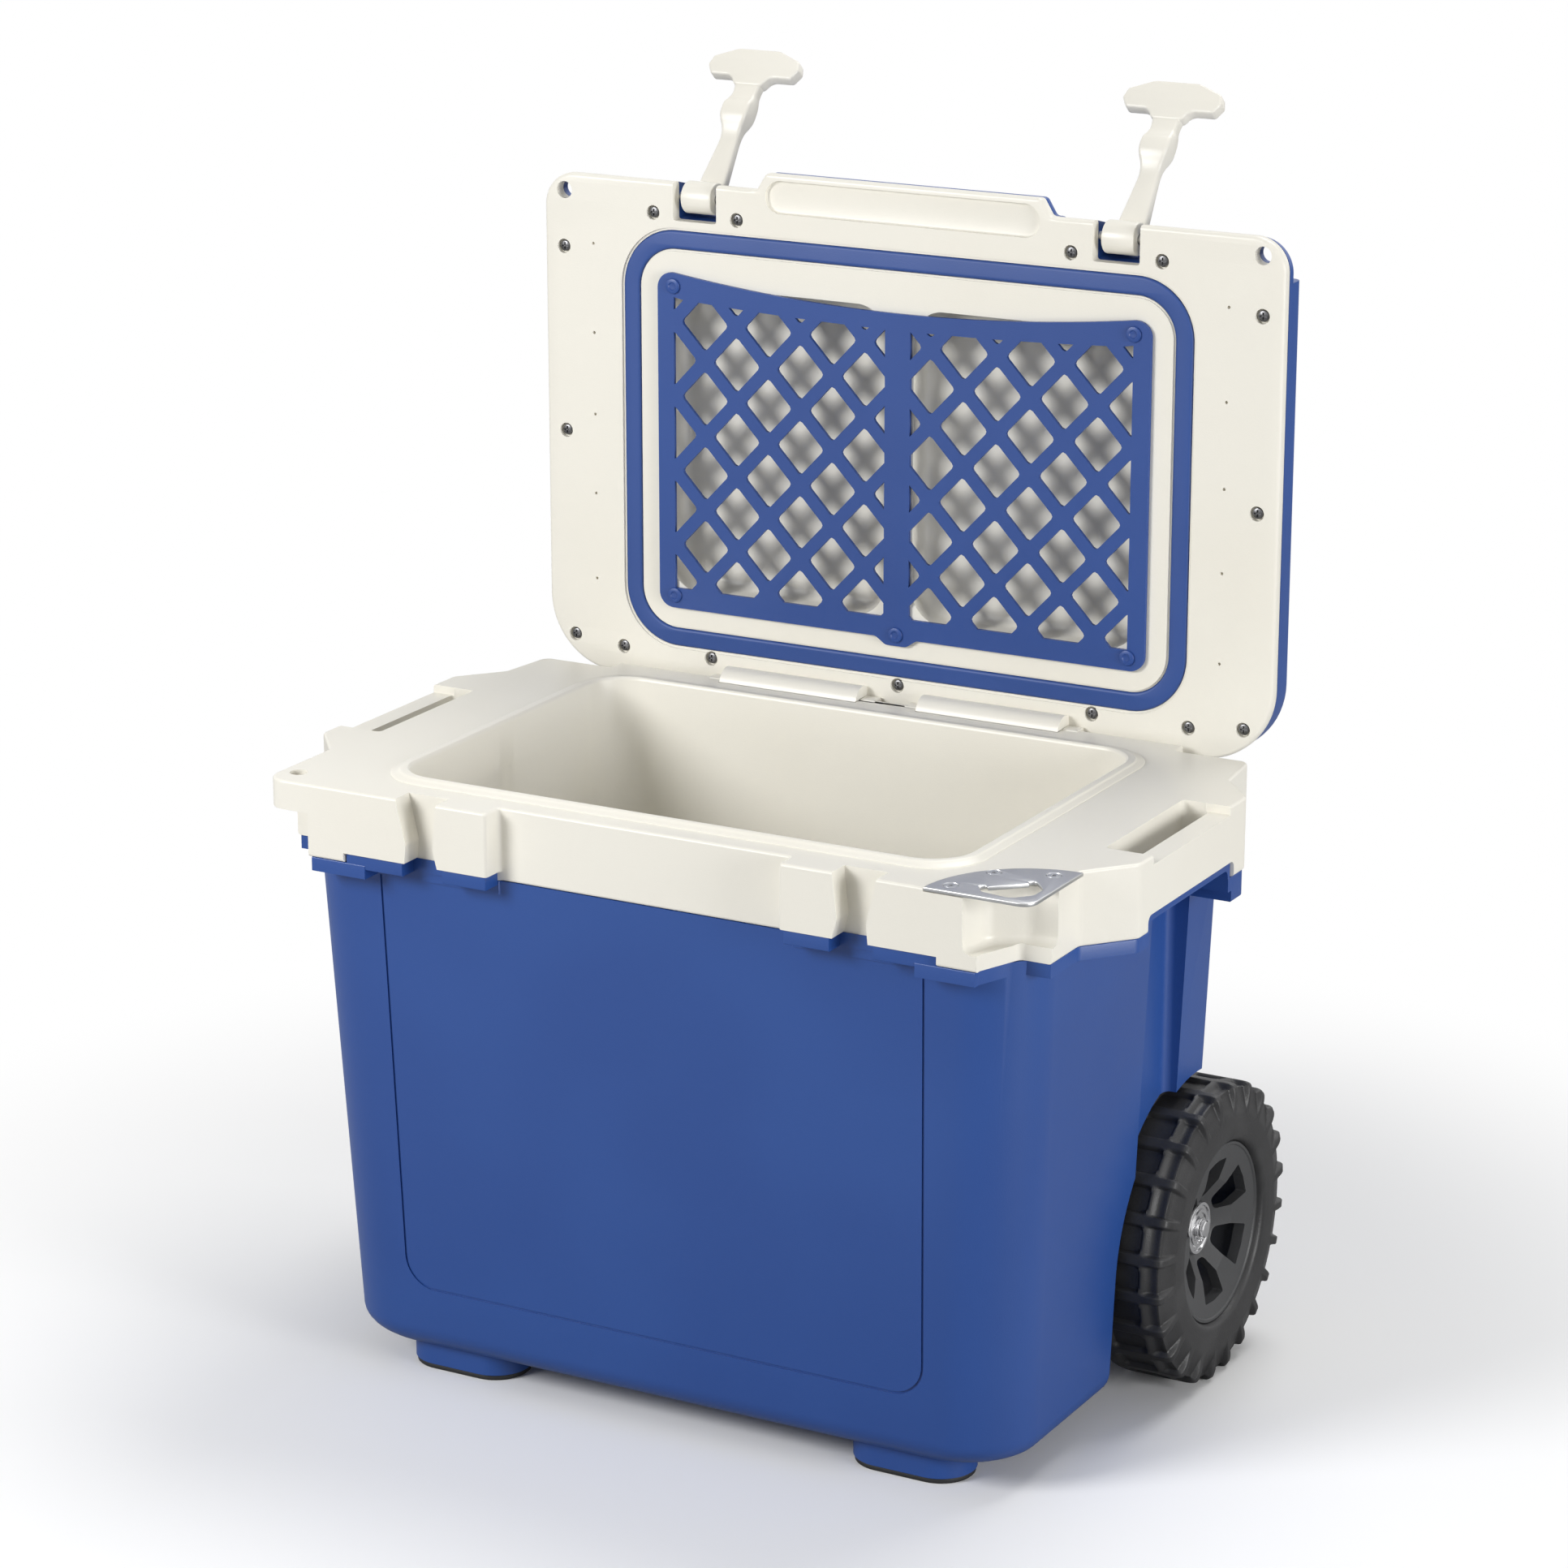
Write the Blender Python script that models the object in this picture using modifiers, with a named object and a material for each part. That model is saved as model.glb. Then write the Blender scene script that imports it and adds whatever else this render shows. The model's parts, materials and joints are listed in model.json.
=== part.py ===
"""Wheeled cooler with its lid open: metres, +Z up, X across, the front towards -Y.

The origin is on the ground, under the middle of the cooler's own box.
Drops below the deck, reaches in front of the hinge and insets from the rim's sides
are positive lengths.
"""

import math

import bmesh
import bpy
from mathutils import Matrix, Vector

# Overall places
DECK_HEIGHT = 0.345
HINGE_Y = 0.10344
HINGE_BELOW_DECK = 0.0023
CLEARANCE = 0.0003
OVERRUN = 0.004
CORNER_STEPS = 4
ROUND_STEPS = 12
SMALL_ROUND_STEPS = 8
FLAT_ANGLE = math.radians(0.01)
SMOOTH_ANGLE = math.radians(35)
ARC_CHORD = 0.0030

# Rim round the top of the tub
RIM_FRONT_REACH = 0.2943
RIM_WALL_REACH = 0.2807
RIM_HALF_WIDTH = 0.2500
RIM_DROP = 0.0406
RIM_BOSS_DROP = 0.0355
RIM_PLATE_THICKNESS = 0.0070
RIM_REAR_INSET = 0.0251
RIM_REAR_HALF_WIDTH = RIM_HALF_WIDTH - RIM_REAR_INSET
RIM_REAR_REACH = 0.0106
RIM_CENTRE_INSET = 0.0690
RIM_CENTRE_HALF_WIDTH = RIM_HALF_WIDTH - RIM_CENTRE_INSET
RIM_CENTRE_REAR = 0.0005
HOLLOW_INSET = 0.0330
HOLLOW_HALF_WIDTH = RIM_HALF_WIDTH - HOLLOW_INSET
HOLLOW_FRONT_REACH = 0.2774
HOLLOW_RADIUS = 0.0450
RIM_SMALL_RADIUS = 0.0020
RIM_SOFT_RADIUS = 0.0060
BOSS_INNER_INSET = 0.1620
BOSS_INNER_X = RIM_HALF_WIDTH - BOSS_INNER_INSET
BOSS_OUTER_INSET = 0.0490
BOSS_OUTER_X = RIM_HALF_WIDTH - BOSS_OUTER_INSET
BOSS_HIGH_INSET = 0.0715
BOSS_HIGH_HALF_WIDTH = RIM_HALF_WIDTH - BOSS_HIGH_INSET
COLLAR_HIGH_INSET = 0.0835
COLLAR_HIGH_HALF_WIDTH = RIM_HALF_WIDTH - COLLAR_HIGH_INSET
CORNER_NOTCH_INSET = 0.0390
CORNER_NOTCH_X = RIM_HALF_WIDTH - CORNER_NOTCH_INSET
CORNER_NOTCH_REACH = 0.2640
TAB_INSET = 0.0215
TAB_HALF_WIDTH = RIM_HALF_WIDTH - TAB_INSET
TAB_THICKNESS = 0.0164
TAB_RADIUS = 0.0120
SHOULDER_REACH = 0.2320
BAR_FRONT_REACH = 0.2060
BITE_REACH = 0.0720
BITE_INSET = 0.0207
BITE_INNER_X = RIM_HALF_WIDTH - BITE_INSET
BITE_INNER_REACH = 0.0469

# Hand holds in the sides of the rim
SLOT_INNER_INSET = 0.0275
SLOT_INNER_X = RIM_HALF_WIDTH - SLOT_INNER_INSET
SLOT_OUTER_INSET = 0.0123
SLOT_OUTER_X = RIM_HALF_WIDTH - SLOT_OUTER_INSET
SLOT_FRONT_REACH = 0.1905
SLOT_REAR_REACH = 0.0930
BAR_TOP_DROP = 0.0048
ARCH_FRONT_REACH = 0.1955
ARCH_REAR_REACH = 0.0867
ARCH_DROP = 0.0314
ARCH_LIP = 0.0044

# Latch keepers, narrow at the waist
KEEPER_INSET = 0.1190
KEEPER_X = RIM_HALF_WIDTH - KEEPER_INSET
KEEPER_TOP_SHARES = (-0.92, 1.02)
KEEPER_WAIST_SHARES = (-0.72, 0.58)
KEEPER_FOOT_SHARES = (-0.93, 0.66)
KEEPER_HALF_WIDTH = 0.0130
KEEPER_WAIST_DROP = 0.0252
KEEPER_BULGE_ROOM = 0.0024

# Bottle opener plate and the pocket below it
OPENER_RADIUS = 0.0600
OPENER_INSET = 0.0190
OPENER_X = RIM_HALF_WIDTH - OPENER_INSET
OPENER_THICKNESS = 0.0022
OPENER_PROUD = 0.0003
OPENER_CORNER_RADIUS = 0.0080
OPENER_WINDOW_SHARES = (
    (0.58, 0.21), (0.21, 0.556), (0.097, 0.403), (0.097, 0.242), (0.24, 0.065), (0.52, 0.13),
)
OPENER_SCREW_SHARES = ((0.823, 0.158), (0.663, 0.647), (0.183, 0.812))
POCKET_SHARES = ((0.683, -0.15), (0.583, 0.355), (0.283, 0.588), (-0.2, 0.64), (-0.2, -0.15))
POCKET_DROP = 0.0320

# Opening and inner tub
OPENING_INSET = 0.0809
OPENING_HALF_WIDTH = RIM_HALF_WIDTH - OPENING_INSET
OPENING_FRONT_REACH = 0.2585
OPENING_REAR_REACH = 0.0314
OPENING_RADIUS = 0.0240
BEAD_WIDTH = 0.0092
BEAD_HEIGHT = 0.0026
TUB_FLOOR_HEIGHT = 0.0480
TUB_WALL = 0.0030
TUB_FLOOR_RADIUS = 0.0120
DRAFT = math.tan(math.radians(2.5))

# Outer shell
SHELL_TOP_INSET = 0.0277
SHELL_TOP_HALF_WIDTH = RIM_HALF_WIDTH - SHELL_TOP_INSET
SHELL_TOP_FRONT_REACH = 0.2819
SHELL_REAR_REACH = 0.0140
SHELL_COLUMN_REACH = 0.0362
SHELL_CENTRE_INSET = 0.0780
SHELL_CENTRE_HALF_WIDTH = RIM_HALF_WIDTH - SHELL_CENTRE_INSET
SHELL_RADIUS = 0.0387
SHELL_EDGE_RADIUS = 0.0060
SHELL_WALL = 0.0030
SHELL_BOTTOM = 0.0155
SHELL_FLOOR_RADIUS = 0.0150
COLLAR_INSET = 0.0012
COLLAR_HEIGHT = 0.0080
COLLAR_REAR_DROP = 0.0550
CHANNEL_FRONT_REACH = 0.1232
CHANNEL_REAR_REACH = 0.0749
CHANNEL_INSET = 0.0432
CHANNEL_X = RIM_HALF_WIDTH - CHANNEL_INSET
FOOT_INSET = 0.1108
FOOT_X = RIM_HALF_WIDTH - FOOT_INSET
FOOT_LENGTH = 0.0696
FOOT_WIDTH = 0.0400
FOOT_FRONT_REACH = 0.2556
PAD_HEIGHT = 0.0030
PAD_INSET = 0.0008

# Wheels
WHEEL_RADIUS = 0.0848
WHEEL_REACH = 0.0500
WHEEL_INSET = 0.0374
WHEEL_X = RIM_HALF_WIDTH - WHEEL_INSET
WHEEL_HALF_WIDTH = 0.0232
WHEEL_SHOULDER = 0.0040
TYRE_STEPS = 36
HUB_STEPS = 24
RIM_SEAT_RADIUS = 0.0515
HUB_FACE_INSET = 0.0036
HUB_CORE_RADIUS = 0.0160
HUB_CORE_HEIGHT = 0.0055
HUB_BEND_RADIUS = 0.0283
HUB_BEND_HEIGHT = 0.0140
HUB_WINDOWS = 6
HUB_WINDOW_OUTER = 0.0412
HUB_WINDOW_SIDE = ((0.0184, 0.0030), (0.0205, 0.0050), (0.0268, 0.0091), (0.0395, 0.0118))
HUB_WEB = 0.0060
HUB_RIM_WALL = 0.0070
WELL_GAP = 0.0060
WELL_RADIUS = WHEEL_RADIUS + WELL_GAP
WELL_SIDE_GAP = 0.0029
WELL_X = WHEEL_X - WHEEL_HALF_WIDTH - WELL_SIDE_GAP
AXLE_RADIUS = 0.0048
AXLE_BITE = 0.0165
AXLE_INNER_X = WELL_X - AXLE_BITE
AXLE_END_HEIGHT = 0.0117
AXLE_END_X = WHEEL_X + AXLE_END_HEIGHT
WASHER_RADIUS = 0.0149
WASHER_THICKNESS = 0.0018

# Drain plug in the left side
DRAIN_REACH = 0.1900
DRAIN_HEIGHT = 0.0640
DRAIN_RADIUS = 0.0090
DRAIN_HEAD_RADIUS = 0.0150
DRAIN_HEAD_THICKNESS = 0.0060
DRAIN_TRAVEL = 0.0200

# Telescopic handle behind the tub
HANDLE_HALF_WIDTH = 0.0700
HANDLE_BEHIND = 0.0610
TUBE_RADIUS = 0.0080
TUBE_WALL = 0.0012
TUBE_STEP = 0.0022
TUBE_BOTTOM = 0.0500
TUBE_TOP_DROP = 0.0300
TUBE_STEP_UP = 0.0060
GRIP_HALF_WIDTH = 0.0860
GRIP_HEIGHT = 0.0220
GRIP_THICKNESS = 0.0200
BUTTON_HALF_WIDTH = 0.0180
BUTTON_RISE = 0.0030
BRACKET_HEIGHT = 0.0240
BRACKET_LOW = 0.0560
BRACKET_HIGH_DROP = 0.0830
BRACKET_HALF_WIDTH = 0.0840
BRACKET_THICKNESS = 0.0240

# Lid, modelled shut about its own hinge and then stood open
LID_INSET = 0.0192
LID_HALF_WIDTH = RIM_HALF_WIDTH - LID_INSET
LID_FRONT_REACH = 0.2875
LID_REAR_REACH = -0.0053
LID_FLANGE_OFFSET = 0.0053
LID_FRONT_RADIUS = 0.0193
LID_REAR_RADIUS = 0.0430
LID_LINER_THICKNESS = 0.0071
LID_SIDE_THICKNESS = 0.0246
LID_TOTAL_THICKNESS = 0.0335
LID_WALL = 0.0030
LID_EDGE_INSET = 0.0006
LID_EDGE_RADIUS = 0.0055
LID_TOP_INSET = 0.0300
LID_TOP_SLOPE = 0.0080
LIP_SIDE_GAP = 0.0025
LIP_HALF_WIDTH = BOSS_INNER_X - LIP_SIDE_GAP
LIP_REACH = 0.2972
LIP_FLARE = 0.0060
LIP_TROUGH_INNER_REACH = 0.2750
LIP_TROUGH_OUTER_REACH = 0.2938
LIP_TROUGH_DEPTH = 0.0025
THIN_CORNER_WIDTH = 0.0278
THIN_CORNER_X = LID_HALF_WIDTH - THIN_CORNER_WIDTH
THIN_CORNER_REACH = 0.2620
THIN_CORNER_THICKNESS = 0.0120
PADLOCK_INSET = 0.0326
PADLOCK_X = RIM_HALF_WIDTH - PADLOCK_INSET
PADLOCK_REACH = 0.2775
PADLOCK_RADIUS = 0.0050
BAY_INNER_X = 0.0090
BAY_INSET = 0.1020
BAY_OUTER_X = RIM_HALF_WIDTH - BAY_INSET
BAY_REAR_REACH = 0.0500
BAY_FRONT_REACH = 0.2290
BAY_DEPTH = 0.0180
BAY_RADIUS = 0.0180
BAY_WALL = 0.0022

# Lid seal
SEAL_HALF_WIDTH = OPENING_HALF_WIDTH + BEAD_WIDTH
SEAL_REAR_REACH = 0.0159
SEAL_FRONT_REACH = 0.2600
SEAL_WIDTH = 0.0106
SEAL_RADIUS = 0.0340
SEAL_DEPTH = 0.0045

# Cargo net in the lid
NET_LAP = 0.0065
NET_HALF_WIDTH = BAY_OUTER_X + NET_LAP
NET_REAR_REACH = 0.0395
NET_TAB_REACH = 0.0350
NET_TAB_HALF_WIDTH = 0.0130
NET_TAB_RADIUS = 0.0040
NET_CORNER_REACH = 0.2375
NET_MIDDLE_REACH = 0.2260
NET_THICKNESS = 0.0022
NET_PROUD = 0.0025
NET_CORNER_RADIUS = 0.0090
NET_STEP_X = 0.02061
NET_STEP_REACH = 0.02177
NET_FIRST_REACH = 0.0780
NET_GAP_SHARE = 0.75
NET_WINDOW_INNER_X = 0.0079
NET_BORDER = 0.0105
NET_WINDOW_OUTER_X = NET_HALF_WIDTH - NET_BORDER
NET_WINDOW_REAR_REACH = 0.0513
NET_WINDOW_MIDDLE_REACH = 0.2166
NET_WINDOW_CORNER_REACH = 0.2222
NET_COLUMNS = 7
NET_ROWS = 5
NET_SMALLEST_GAP = 0.0028
NET_PEG_CLEARANCE = 0.0040
NET_SMALLEST_EDGE = 0.0015
PEG_INSET = 0.0103
PEG_X = NET_HALF_WIDTH - PEG_INSET
PEG_REAR_REACH = 0.0470
PEG_FRONT_REACH = 0.2285
PEG_MIDDLE_REACH = 0.0415
PEG_RADIUS = 0.0048
PEG_HEAD = 0.0015
PEG_STEM_RADIUS = 0.0020
PEG_STEM = 0.0060

# Lid hinge
KNUCKLE_INNER_X = 0.0193
KNUCKLE_INSET = 0.1418
KNUCKLE_OUTER_X = RIM_HALF_WIDTH - KNUCKLE_INSET
KNUCKLE_RADIUS = 0.0095
EAR_RADIUS = 0.0049
EAR_WIDTH = 0.0095
EAR_RISE = 0.0008
PIN_RADIUS = 0.0018
PIN_BITE = 0.0045

# Lid latches
LATCH_OFFSET = 0.0004
LATCH_X = KEEPER_X + LATCH_OFFSET
LATCH_REACH = 0.2783
LATCH_LIFT = 0.0097
LATCH_TURN = math.radians(130.8)
BARREL_RADIUS = 0.0092
BARREL_HALF_WIDTH = 0.0106
LATCH_SLOT_HALF_WIDTH = 0.0141
LATCH_SLOT_REACH = 0.2657
ARM_BACK = 0.0029
ARM_FRONT = 0.0088
ARM_OUTLINE_SHARES = ((0.0, 0.97), (0.20, 0.80), (0.37, 0.57), (0.49, 0.57), (0.545, 0.64))
ARM_LENGTH = 0.0880
BULGE_START = 0.0515
BULGE_END = 0.0660
BULGE_HALF_WIDTH = 0.0090
BULGE_BACK = 0.0060
BULGE_FRONT = 0.0100
TEE_CENTRE = 0.0890
TEE_HALF_WIDTH = 0.0297
TEE_HALF_HEIGHT = 0.0120
TEE_BACK = 0.0005
TEE_FRONT = 0.0085
TEE_OUTLINE_SHARES = ((0.30, 1.0), (0.42, 0.5), (0.88, 0.5), (1.0, 0.0), (0.94, -0.5), (0.45, -1.0))
LATCH_PIN_RADIUS = 0.0025
LATCH_PIN_HALF_LENGTH = 0.0168

# Lid screws
SCREW_HEAD_RADIUS = 0.0032
SCREW_HEAD = 0.0022
SCREW_SHANK_RADIUS = 0.0016
SCREW_SHANK = 0.0040
COUNTERBORE_RADIUS = 0.0042
COUNTERBORE_DEPTH = 0.0030
SCREW_SIDE_INSET = 0.0319
SCREW_SIDE_X = RIM_HALF_WIDTH - SCREW_SIDE_INSET
SCREW_SIDE_REACHES = (0.2448, 0.1366)
SCREW_CORNER_INSET = 0.0364
SCREW_CORNER_X = RIM_HALF_WIDTH - SCREW_CORNER_INSET
SCREW_CORNER_REACH = 0.0144
SCREW_FRONT_INSETS = (0.0914, 0.1458)
SCREW_FRONT_REACH = 0.2692
SCREW_HINGE_INSETS = (0.1281, 0.0693)
SCREW_HINGE_REACH = 0.0110

HINGE = Vector((0, HINGE_Y, DECK_HEIGHT - HINGE_BELOW_DECK))
WHEEL_Y = HINGE_Y - WHEEL_REACH
HANDLE_Y = HINGE_Y + HANDLE_BEHIND
ALONG_X = Matrix(((0, 0, 1), (1, 0, 0), (0, 1, 0))).to_4x4()
ALONG_Y = Matrix.Rotation(math.pi / 2, 4, "X")


def clear_scene():
    for item in list(bpy.data.objects):
        bpy.data.objects.remove(item, do_unlink=True)


def make_collection(name):
    collection = bpy.data.collections.new(name)
    bpy.context.scene.collection.children.link(collection)
    return collection


def make_material(name, colour, roughness, metallic=0.0):
    """One Principled finish in a linear colour."""
    material = bpy.data.materials.new(name)
    material.use_nodes = True
    shader = material.node_tree.nodes["Principled BSDF"]
    shader.inputs["Base Color"].default_value = (*colour, 1.0)
    shader.inputs["Roughness"].default_value = roughness
    shader.inputs["Metallic"].default_value = metallic
    return material


clear_scene()
PARTS = make_collection("wheeled_cooler")
TOOLS = make_collection("cutters")
BLUE = make_material("blue_plastic", (0.025, 0.075, 0.30), 0.42)
SEAL_BLUE = make_material("blue_rubber", (0.025, 0.07, 0.28), 0.55)
CREAM = make_material("cream_plastic", (0.86, 0.83, 0.75), 0.38)
FOAM = make_material("pale_foam", (0.80, 0.72, 0.50), 0.9)
RUBBER = make_material("black_rubber", (0.012, 0.012, 0.012), 0.6)
GREY = make_material("grey_plastic", (0.05, 0.05, 0.052), 0.45)
STEEL = make_material("brushed_steel", (0.55, 0.55, 0.56), 0.32, 1.0)
CHROME = make_material("bright_chrome", (0.8, 0.8, 0.8), 0.12, 1.0)
DARK_STEEL = make_material("dark_screw", (0.08, 0.08, 0.08), 0.35, 1.0)


def place(mesh, name, material=None):
    """A part when it has a material, otherwise a hidden tool."""
    item = bpy.data.objects.new(name, mesh)
    if material is None:
        TOOLS.objects.link(item)
        item.hide_render = True
        item.display_type = "WIRE"
    else:
        PARTS.objects.link(item)
        mesh.materials.append(material)
    if mesh.polygons:
        mesh.shade_smooth()
        mesh.set_sharp_from_angle(angle=SMOOTH_ANGLE)
    return item


def carry(name, spot, *items):
    """Parents items, where they stand, to an empty on the axis that they move along."""
    axis = bpy.data.objects.new(name, None)
    PARTS.objects.link(axis)
    axis.location = spot
    bpy.context.view_layer.update()
    for item in items:
        item.parent = axis
        item.matrix_parent_inverse = axis.matrix_world.inverted()


def fillet(corners, steps=None):
    """Closed outline whose corners (x, y, radius) become arcs.

    Without a number of steps, small corners get fewer of them.
    """
    points = []
    for index, (x, y, radius) in enumerate(corners):
        corner = Vector((x, y))
        if radius == 0:
            points.append((x, y))
            continue
        to_last = (Vector(corners[index - 1][:2]) - corner).normalized()
        to_next = (Vector(corners[(index + 1) % len(corners)][:2]) - corner).normalized()
        half = to_last.angle(to_next) / 2
        count = steps or max(1, min(CORNER_STEPS, round(radius / ARC_CHORD)))
        reach = radius / math.tan(half)
        centre = corner + (to_last + to_next).normalized() * (radius / math.sin(half))
        first = corner + to_last * reach - centre
        last = corner + to_next * reach - centre
        sweep = -first.angle_signed(last)
        for step in range(count + 1):
            turned = Matrix.Rotation(sweep * step / count, 2) @ first
            points.append(tuple(centre + turned))
    return points


def circle(x, y, radius, steps=ROUND_STEPS):
    turns = [2 * math.pi * step / steps for step in range(steps)]
    return [(x + radius * math.cos(turn), y + radius * math.sin(turn)) for turn in turns]


def mirrored(half):
    """Whole outline from the corners of its right half, front to back."""
    return list(half) + [(-x, y, radius) for x, y, radius in reversed(half)]


def rectangle(x_low, x_high, y_low, y_high, radius=0.0):
    return [(x_low, y_low, radius), (x_high, y_low, radius),
            (x_high, y_high, radius), (x_low, y_high, radius)]


def prism(name, outlines, low, high, material=None, turn=None):
    """Flat outline, with any holes after it, extruded from low to high."""
    curve = bpy.data.curves.new(name, "CURVE")
    curve.dimensions = "2D"
    curve.fill_mode = "BOTH"
    curve.extrude = (high - low) / 2
    for outline in outlines:
        spline = curve.splines.new("POLY")
        spline.points.add(len(outline) - 1)
        for point, (x, y) in zip(spline.points, outline):
            point.co = (x, y, 0, 1)
        spline.use_cyclic_u = True
    guide = bpy.data.objects.new(name + "_outline", curve)
    TOOLS.objects.link(guide)
    bpy.context.view_layer.update()
    graph = bpy.context.evaluated_depsgraph_get()
    mesh = bpy.data.meshes.new_from_object(guide.evaluated_get(graph))
    bpy.data.objects.remove(guide, do_unlink=True)
    shape = bmesh.new()
    shape.from_mesh(mesh)
    bmesh.ops.remove_doubles(shape, verts=shape.verts, dist=CLEARANCE / 100)
    bmesh.ops.dissolve_limit(shape, angle_limit=FLAT_ANGLE, verts=shape.verts, edges=shape.edges)
    bmesh.ops.translate(shape, verts=shape.verts, vec=(0, 0, (low + high) / 2))
    bmesh.ops.recalc_face_normals(shape, faces=shape.faces)
    shape.to_mesh(mesh)
    shape.free()
    if turn:
        mesh.transform(turn)
    mesh.name = name
    return place(mesh, name, material)


def loft(name, rings, material=None):
    """Closed solid through rings of points with equal counts."""
    shape = bmesh.new()
    loops = [[shape.verts.new(point) for point in ring] for ring in rings]
    for lower, upper in zip(loops, loops[1:]):
        for index in range(len(lower)):
            following = (index + 1) % len(lower)
            shape.faces.new((lower[index], lower[following], upper[following], upper[index]))
    shape.faces.new(loops[0])
    shape.faces.new(loops[-1])
    bmesh.ops.recalc_face_normals(shape, faces=shape.faces)
    mesh = bpy.data.meshes.new(name)
    shape.to_mesh(mesh)
    shape.free()
    return place(mesh, name, material)


def box(name, low, high, material=None):
    shape = bmesh.new()
    bmesh.ops.create_cube(shape, size=1.0)
    size = Vector(high) - Vector(low)
    middle = (Vector(high) + Vector(low)) / 2
    bmesh.ops.scale(shape, verts=shape.verts, vec=size)
    bmesh.ops.translate(shape, verts=shape.verts, vec=middle)
    mesh = bpy.data.meshes.new(name)
    shape.to_mesh(mesh)
    shape.free()
    return place(mesh, name, material)


def rod(name, start, end, radius, material=None, steps=ROUND_STEPS):
    """Round rod between two points."""
    start = Vector(start)
    line = Vector(end) - start
    shape = bmesh.new()
    bmesh.ops.create_cone(shape, cap_ends=True, segments=steps, radius1=radius,
                          radius2=radius, depth=line.length)
    mesh = bpy.data.meshes.new(name)
    shape.to_mesh(mesh)
    shape.free()
    turn = line.to_track_quat("Z", "Y").to_matrix().to_4x4()
    mesh.transform(Matrix.Translation(start + line / 2) @ turn)
    return place(mesh, name, material)


def turned(name, profile, steps, material=None, closed=False):
    """Solid turned about its own Z from (radius, height) points, top to bottom outside."""
    links = [(index, index + 1) for index in range(len(profile) - 1)]
    if closed:
        links.append((len(profile) - 1, 0))
    mesh = bpy.data.meshes.new(name)
    mesh.from_pydata([(radius, 0.0, height) for radius, height in profile], links, [])
    item = place(mesh, name, material)
    sweep = item.modifiers.new("turn", "SCREW")
    sweep.axis = "Z"
    sweep.angle = 2 * math.pi
    sweep.steps = steps
    sweep.render_steps = steps
    sweep.use_merge_vertices = True
    sweep.merge_threshold = CLEARANCE / 30
    return item


def combine(item, tools, operation):
    for tool in tools:
        change = item.modifiers.new(operation.lower(), "BOOLEAN")
        change.operation = operation
        change.object = tool
        change.solver = "EXACT"
    return item


def cut(item, *tools):
    return combine(item, tools, "DIFFERENCE")


def join(item, *tools):
    return combine(item, tools, "UNION")


def merge_flat_faces(item):
    """Joins the flat pieces that the cuts leave in one plane."""
    change = item.modifiers.new("flat", "DECIMATE")
    change.decimate_type = "DISSOLVE"
    change.angle_limit = FLAT_ANGLE


def both_sides(make):
    """Calls make(side) for the left side, -1, and the right side, 1."""
    return [make(-1), make(1)]


def side_name(side):
    return "left" if side < 0 else "right"


def behind(reach):
    """World Y at a distance in front of the hinge."""
    return HINGE_Y - reach


def below(drop):
    """World Z at a distance below the deck."""
    return DECK_HEIGHT - drop


def tub_rings(half_width, front_reach, rear_reach, radius, top, bottom, floor_radius):
    """Rings of a plain drafted tub with a rounded floor."""
    levels = [(top, 0.0), (bottom + floor_radius, 0.0)]
    for step in range(1, CORNER_STEPS):
        turn = math.pi / 2 * step / (CORNER_STEPS - 1)
        rise = floor_radius * (1 - math.sin(turn))
        levels.append((bottom + rise, floor_radius * (1 - math.cos(turn))))
    rings = []
    for height, tuck in levels:
        inset = tuck + DRAFT * (top - height)
        corners = rectangle(inset - half_width, half_width - inset, behind(front_reach) + inset,
                            behind(rear_reach) - inset, radius)
        rings.append([(x, y, height) for x, y in fillet(corners, CORNER_STEPS)])
    return rings


def shell_plan(inset, draft_inset):
    """Plan of the outer shell, wider at the sides than at the back."""
    tuck = inset + draft_inset
    edge = max(SHELL_EDGE_RADIUS - inset, RIM_SMALL_RADIUS)
    column = behind(SHELL_COLUMN_REACH) - inset
    half = [
        (SHELL_TOP_HALF_WIDTH - tuck, behind(SHELL_TOP_FRONT_REACH) + tuck, SHELL_RADIUS - inset),
        (SHELL_TOP_HALF_WIDTH - tuck, column, edge),
        (SHELL_CENTRE_HALF_WIDTH - tuck, column, edge),
        (SHELL_CENTRE_HALF_WIDTH - tuck, behind(SHELL_REAR_REACH) - inset, edge),
    ]
    return fillet(mirrored(half), CORNER_STEPS - 1)


def shell_solid(name, inset, top, material=None):
    """Body of the shell, or of what fills it, moved inwards by inset."""
    bottom = SHELL_BOTTOM + inset
    levels = [(top, 0.0), (bottom + SHELL_FLOOR_RADIUS, 0.0)]
    for step in range(1, CORNER_STEPS):
        turn = math.pi / 2 * step / (CORNER_STEPS - 1)
        tuck = SHELL_FLOOR_RADIUS * (1 - math.cos(turn))
        levels.append((bottom + SHELL_FLOOR_RADIUS * (1 - math.sin(turn)), tuck))
    rings = []
    for height, tuck in levels:
        plan = shell_plan(inset, tuck + DRAFT * (DECK_HEIGHT - height))
        rings.append([(x, y, height) for x, y in plan])
    body = loft(name, rings, material)
    for side in (-1, 1):
        cut(body, wheel_well(name, side, inset), side_channel(name, side, inset))
    return body


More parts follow.
